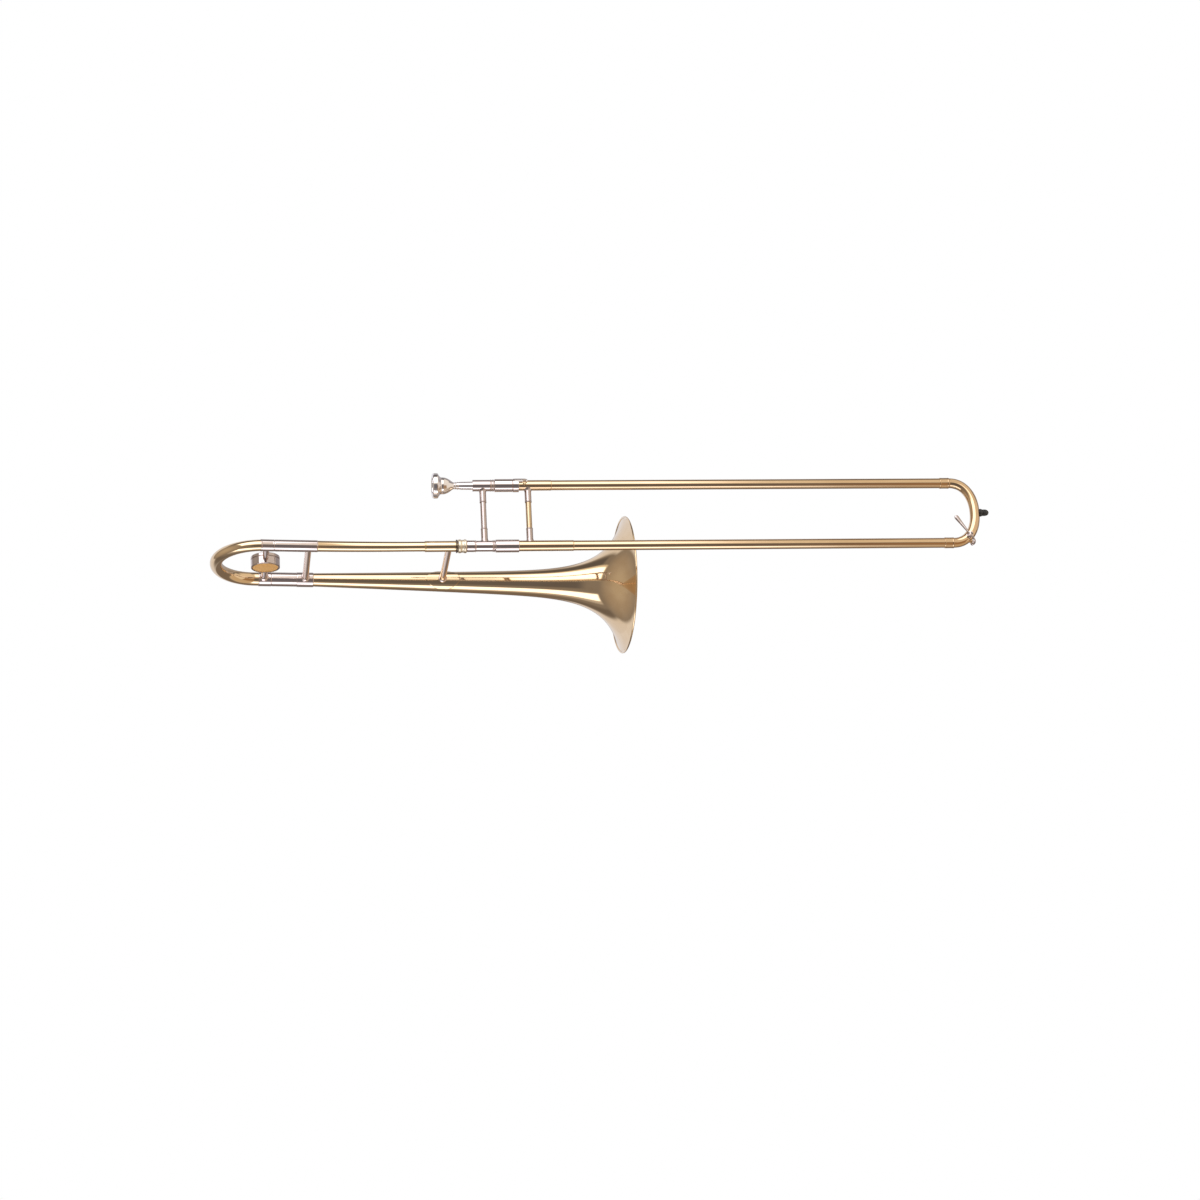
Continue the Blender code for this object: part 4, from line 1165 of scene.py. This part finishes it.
disc_low, disc_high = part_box("counterweight_inset")
disc_line = Line((weight_centre.x, weight_centre.y, 0), (0, 0, 1), (1, 0, 0))
disc_under, disc_over = disc_low.z / mm, disc_high.z / mm
disc_radius = (disc_high.x - disc_low.x) / 2 / mm
outline = [(disc_under, 0.0), (disc_under + 0.02, 6.0), (disc_under + 0.1, 12.0)]
outline += [(disc_under + 0.25, disc_radius), (disc_over, disc_radius), (disc_over, 0.0)]
piece = turned("amber_disc", disc_line, outline, bored=False, sides=120, ease=0.15)
fitted(piece, fired_enamel(), "tuning_slide", "amber_enamel", "counterweight_inset")

post_line = Line((weight_centre.x, 0, weight_centre.z), (0, 1, 0), (1, 0, 0))
post_radius = 4.4
drum_hull = hull(drum_line, weight_radius - 0.05)
outline = [(0.0, 0.0), (0.0, post_radius), (41.0, post_radius), (41.0, 0.0)]
piece = turned("upper_balance_bar", post_line, outline, bored=False, sides=80, ease=0.0)
scribed(piece, post_line, 20.0, 0.0, hull(leg_line, 8.45))
scribed(piece, post_line, 22.0, 41.0, drum_hull)
fitted(piece, nickel, "tuning_slide", "nickel", "upper_weight_post")
flared = [(79.0, 0.0), (79.0, post_radius), (115.6, post_radius)]
flared += [(115.6 + 4.0 * k / 8, post_radius + 1.8 * (k / 8) ** 2) for k in range(1, 9)]
flared += [(123.0, 6.2), (123.0, 0.0)]
piece = turned("lower_balance_bar", post_line, flared, bored=False, sides=96, ease=0.15)
scribed(piece, post_line, 100.0, 79.0, drum_hull)
scribed(piece, post_line, 119.7, 123.0, hull(bell_line, 10.27))
fitted(piece, nickel, "tuning_slide", "nickel", "lower_weight_post")

# ------------------------------------------------------------------ floor and backdrop
# A plain pale floor well below the instrument, fading into a white backdrop. It isn't
# seen from beneath.

floor_height = -2.15
floor_reach = 9.0
shape = bmesh.new()
bmesh.ops.create_circle(shape, cap_ends=True, segments=96, radius=floor_reach)
floor_mesh = bpy.data.meshes.new("floor")
shape.to_mesh(floor_mesh)
shape.free()
floor = bpy.data.objects.new("floor", floor_mesh)
floor.location = (0, 0, floor_height)
bpy.context.scene.collection.objects.link(floor)


def pale_floor():
    material, tree, shader = new_finish("Pale floor")
    place = put(tree, "TexCoord").outputs["Object"]
    grain = put(tree, "TexNoise", {"Vector": place, "Scale": 3.0, "Detail": 6.0}).outputs[0]
    tone = mixed(tree, grain, (0.88, 0.88, 0.88, 1), (0.93, 0.93, 0.93, 1))
    tree.links.new(tone, shader.inputs["Base Color"])
    shader.inputs["Roughness"].default_value = 0.9
    shader.inputs["Emission Color"].default_value = (1, 1, 1, 1)
    shader.inputs["Emission Strength"].default_value = 0.3
    away = put(tree, "VectorMath", {0: place}, operation="LENGTH").outputs["Value"]
    fade = spread(tree, away, 3.0, floor_reach)
    hidden = math_node(tree, "MAXIMUM", fade, put(tree, "NewGeometry").outputs["Backfacing"])
    clear = put(tree, "BsdfTransparent")
    both = put(tree, "MixShader", {0: hidden, 1: shader.outputs[0], 2: clear.outputs[0]})
    output = next(node for node in tree.nodes if node.type == "OUTPUT_MATERIAL")
    tree.links.new(both.outputs[0], output.inputs["Surface"])
    return material


floor.data.materials.append(pale_floor())
floor.visible_glossy = False

# ------------------------------------------------------------------ studio light
# Two long soft boxes face the instrument, one below its level and one above, with a dark
# opening between them, before a pale backdrop. The ends of the room are a dull tan.

camera_rise = 19.5
no_end = 500.0
room_brown = (0.26, 0.235, 0.22, 1)
panels = (
    # name, lowest and highest rise, leftmost and rightmost side, blur in rise and in side, colour
    ("left wall", -no_end, no_end, -no_end, -0.80, 9, 0.12, (0.42, 0.365, 0.31)),
    ("left wall's lit end", -no_end, no_end, -no_end, -0.95, 9, 0.06, (0.52, 0.46, 0.38)),
    ("backdrop overhead", 129, no_end, -0.73, no_end, 7, 0.03, (0.80, 0.80, 0.84)),
    ("backdrop beneath", -no_end, -139, -0.73, no_end, 7, 0.03, (0.76, 0.75, 0.78)),
    ("dim overhead", 129, no_end, -0.01, no_end, 7, 0.05, (0.42, 0.39, 0.39)),
    ("dim beneath", -no_end, -104, -0.01, no_end, 14, 0.05, (0.21, 0.175, 0.15)),
    ("floor shade", -134, -112, -0.72, 0.0, 8, 0.05, (0.18, 0.16, 0.15)),
    ("ceiling shade", 90, 120, -0.62, no_end, 7, 0.05, (0.13, 0.12, 0.12)),
    ("dark opening", -26, 13, -0.36, no_end, 7, 0.12, (0.15, 0.14, 0.145)),
    ("low soft box rim", -94, -45, -0.68, 0.24, 6, 0.03, (0.58, 0.55, 0.53)),
    ("low soft box", -80, -49, -0.66, 0.180, 4, 0.03, (2.20, 2.25, 2.35)),
    ("high soft box rim", 19, 90, -0.75, 0.24, 4, 0.03, (0.85, 0.78, 0.66)),
    ("high soft box", 29, 81, -0.73, 0.150, 4, 0.022, (2.20, 2.25, 2.35)),
    ("right wall", -100, 108, 0.23, no_end, 9, 0.035, (0.84, 0.76, 0.65)),
    ("right wall's foot", -100, -44, 0.21, no_end, 9, 0.035, (0.62, 0.50, 0.36)),
    ("doorway", -44, 7, 0.19, 0.70, 9, 0.035, (0.38, 0.235, 0.13)),
    ("right window frame", 84, 165, 0.72, 0.86, 12, 0.04, (0.30, 0.27, 0.26)),
)


def within(tree, value, low, high, blur):
    """1 between low and high and 0 beyond, with a soft edge of this width on both sides."""
    above = spread(tree, value, low - blur, low + blur)
    return math_node(tree, "SUBTRACT", above, spread(tree, value, high - blur, high + blur))


world = bpy.data.worlds.new("Studio")
bpy.context.scene.world = world
world.use_nodes = True
tree = world.node_tree
tree.nodes.clear()
way = put(tree, "TexCoord").outputs["Generated"]
parts = put(tree, "SeparateXYZ", {0: way}).outputs
angle = math_node(tree, "ARCTAN2", parts[2], math_node(tree, "MULTIPLY", parts[1], -1.0))
rise = math_node(tree, "ADD", math_node(tree, "DEGREES", angle), camera_rise)
seen = room_brown
for name, lowest, highest, leftmost, rightmost, rise_blur, side_blur, colour in panels:
    across = within(tree, parts[0], leftmost, rightmost, side_blur)
    upward = within(tree, rise, lowest, highest, rise_blur)
    seen = mixed(tree, math_node(tree, "MULTIPLY", across, upward), seen, (*colour, 1))
    seen.node.label = name
by_camera = put(tree, "LightPath").outputs["Is Camera Ray"]
seen = mixed(tree, by_camera, seen, (1.0, 1.0, 1.0, 1))
light = put(tree, "Background", {0: seen, 1: 1.0})
output = put(tree, "OutputWorld")
tree.links.new(light.outputs[0], output.inputs[0])
bpy.context.scene.view_settings.view_transform = "Standard"

# ------------------------------------------------------------------ camera
# It stands about five metres off with a long lens, level with the hand brace's left and
# well below it, and looks up at the side that faces away from the bell.

camera_place = Vector((-0.462219, -4.804410, -1.834646))
looks = Vector((0.121478, 0.935434, 0.331972))
camera_right = Vector((0.992554, -0.111461, -0.049127))
camera_up = camera_right.cross(looks).normalized()
lens = bpy.data.cameras.new("camera")
lens.sensor_width = 36.0
lens.lens = 108.0
lens.clip_start = 0.05
lens.clip_end = 100.0
camera = bpy.data.objects.new("camera", lens)
bpy.context.scene.collection.objects.link(camera)
turn = Matrix((camera_right, camera_up, -looks)).transposed()
camera.matrix_world = Matrix.Translation(camera_place) @ turn.to_4x4()
bpy.context.scene.camera = camera

bpy.context.view_layer.update()
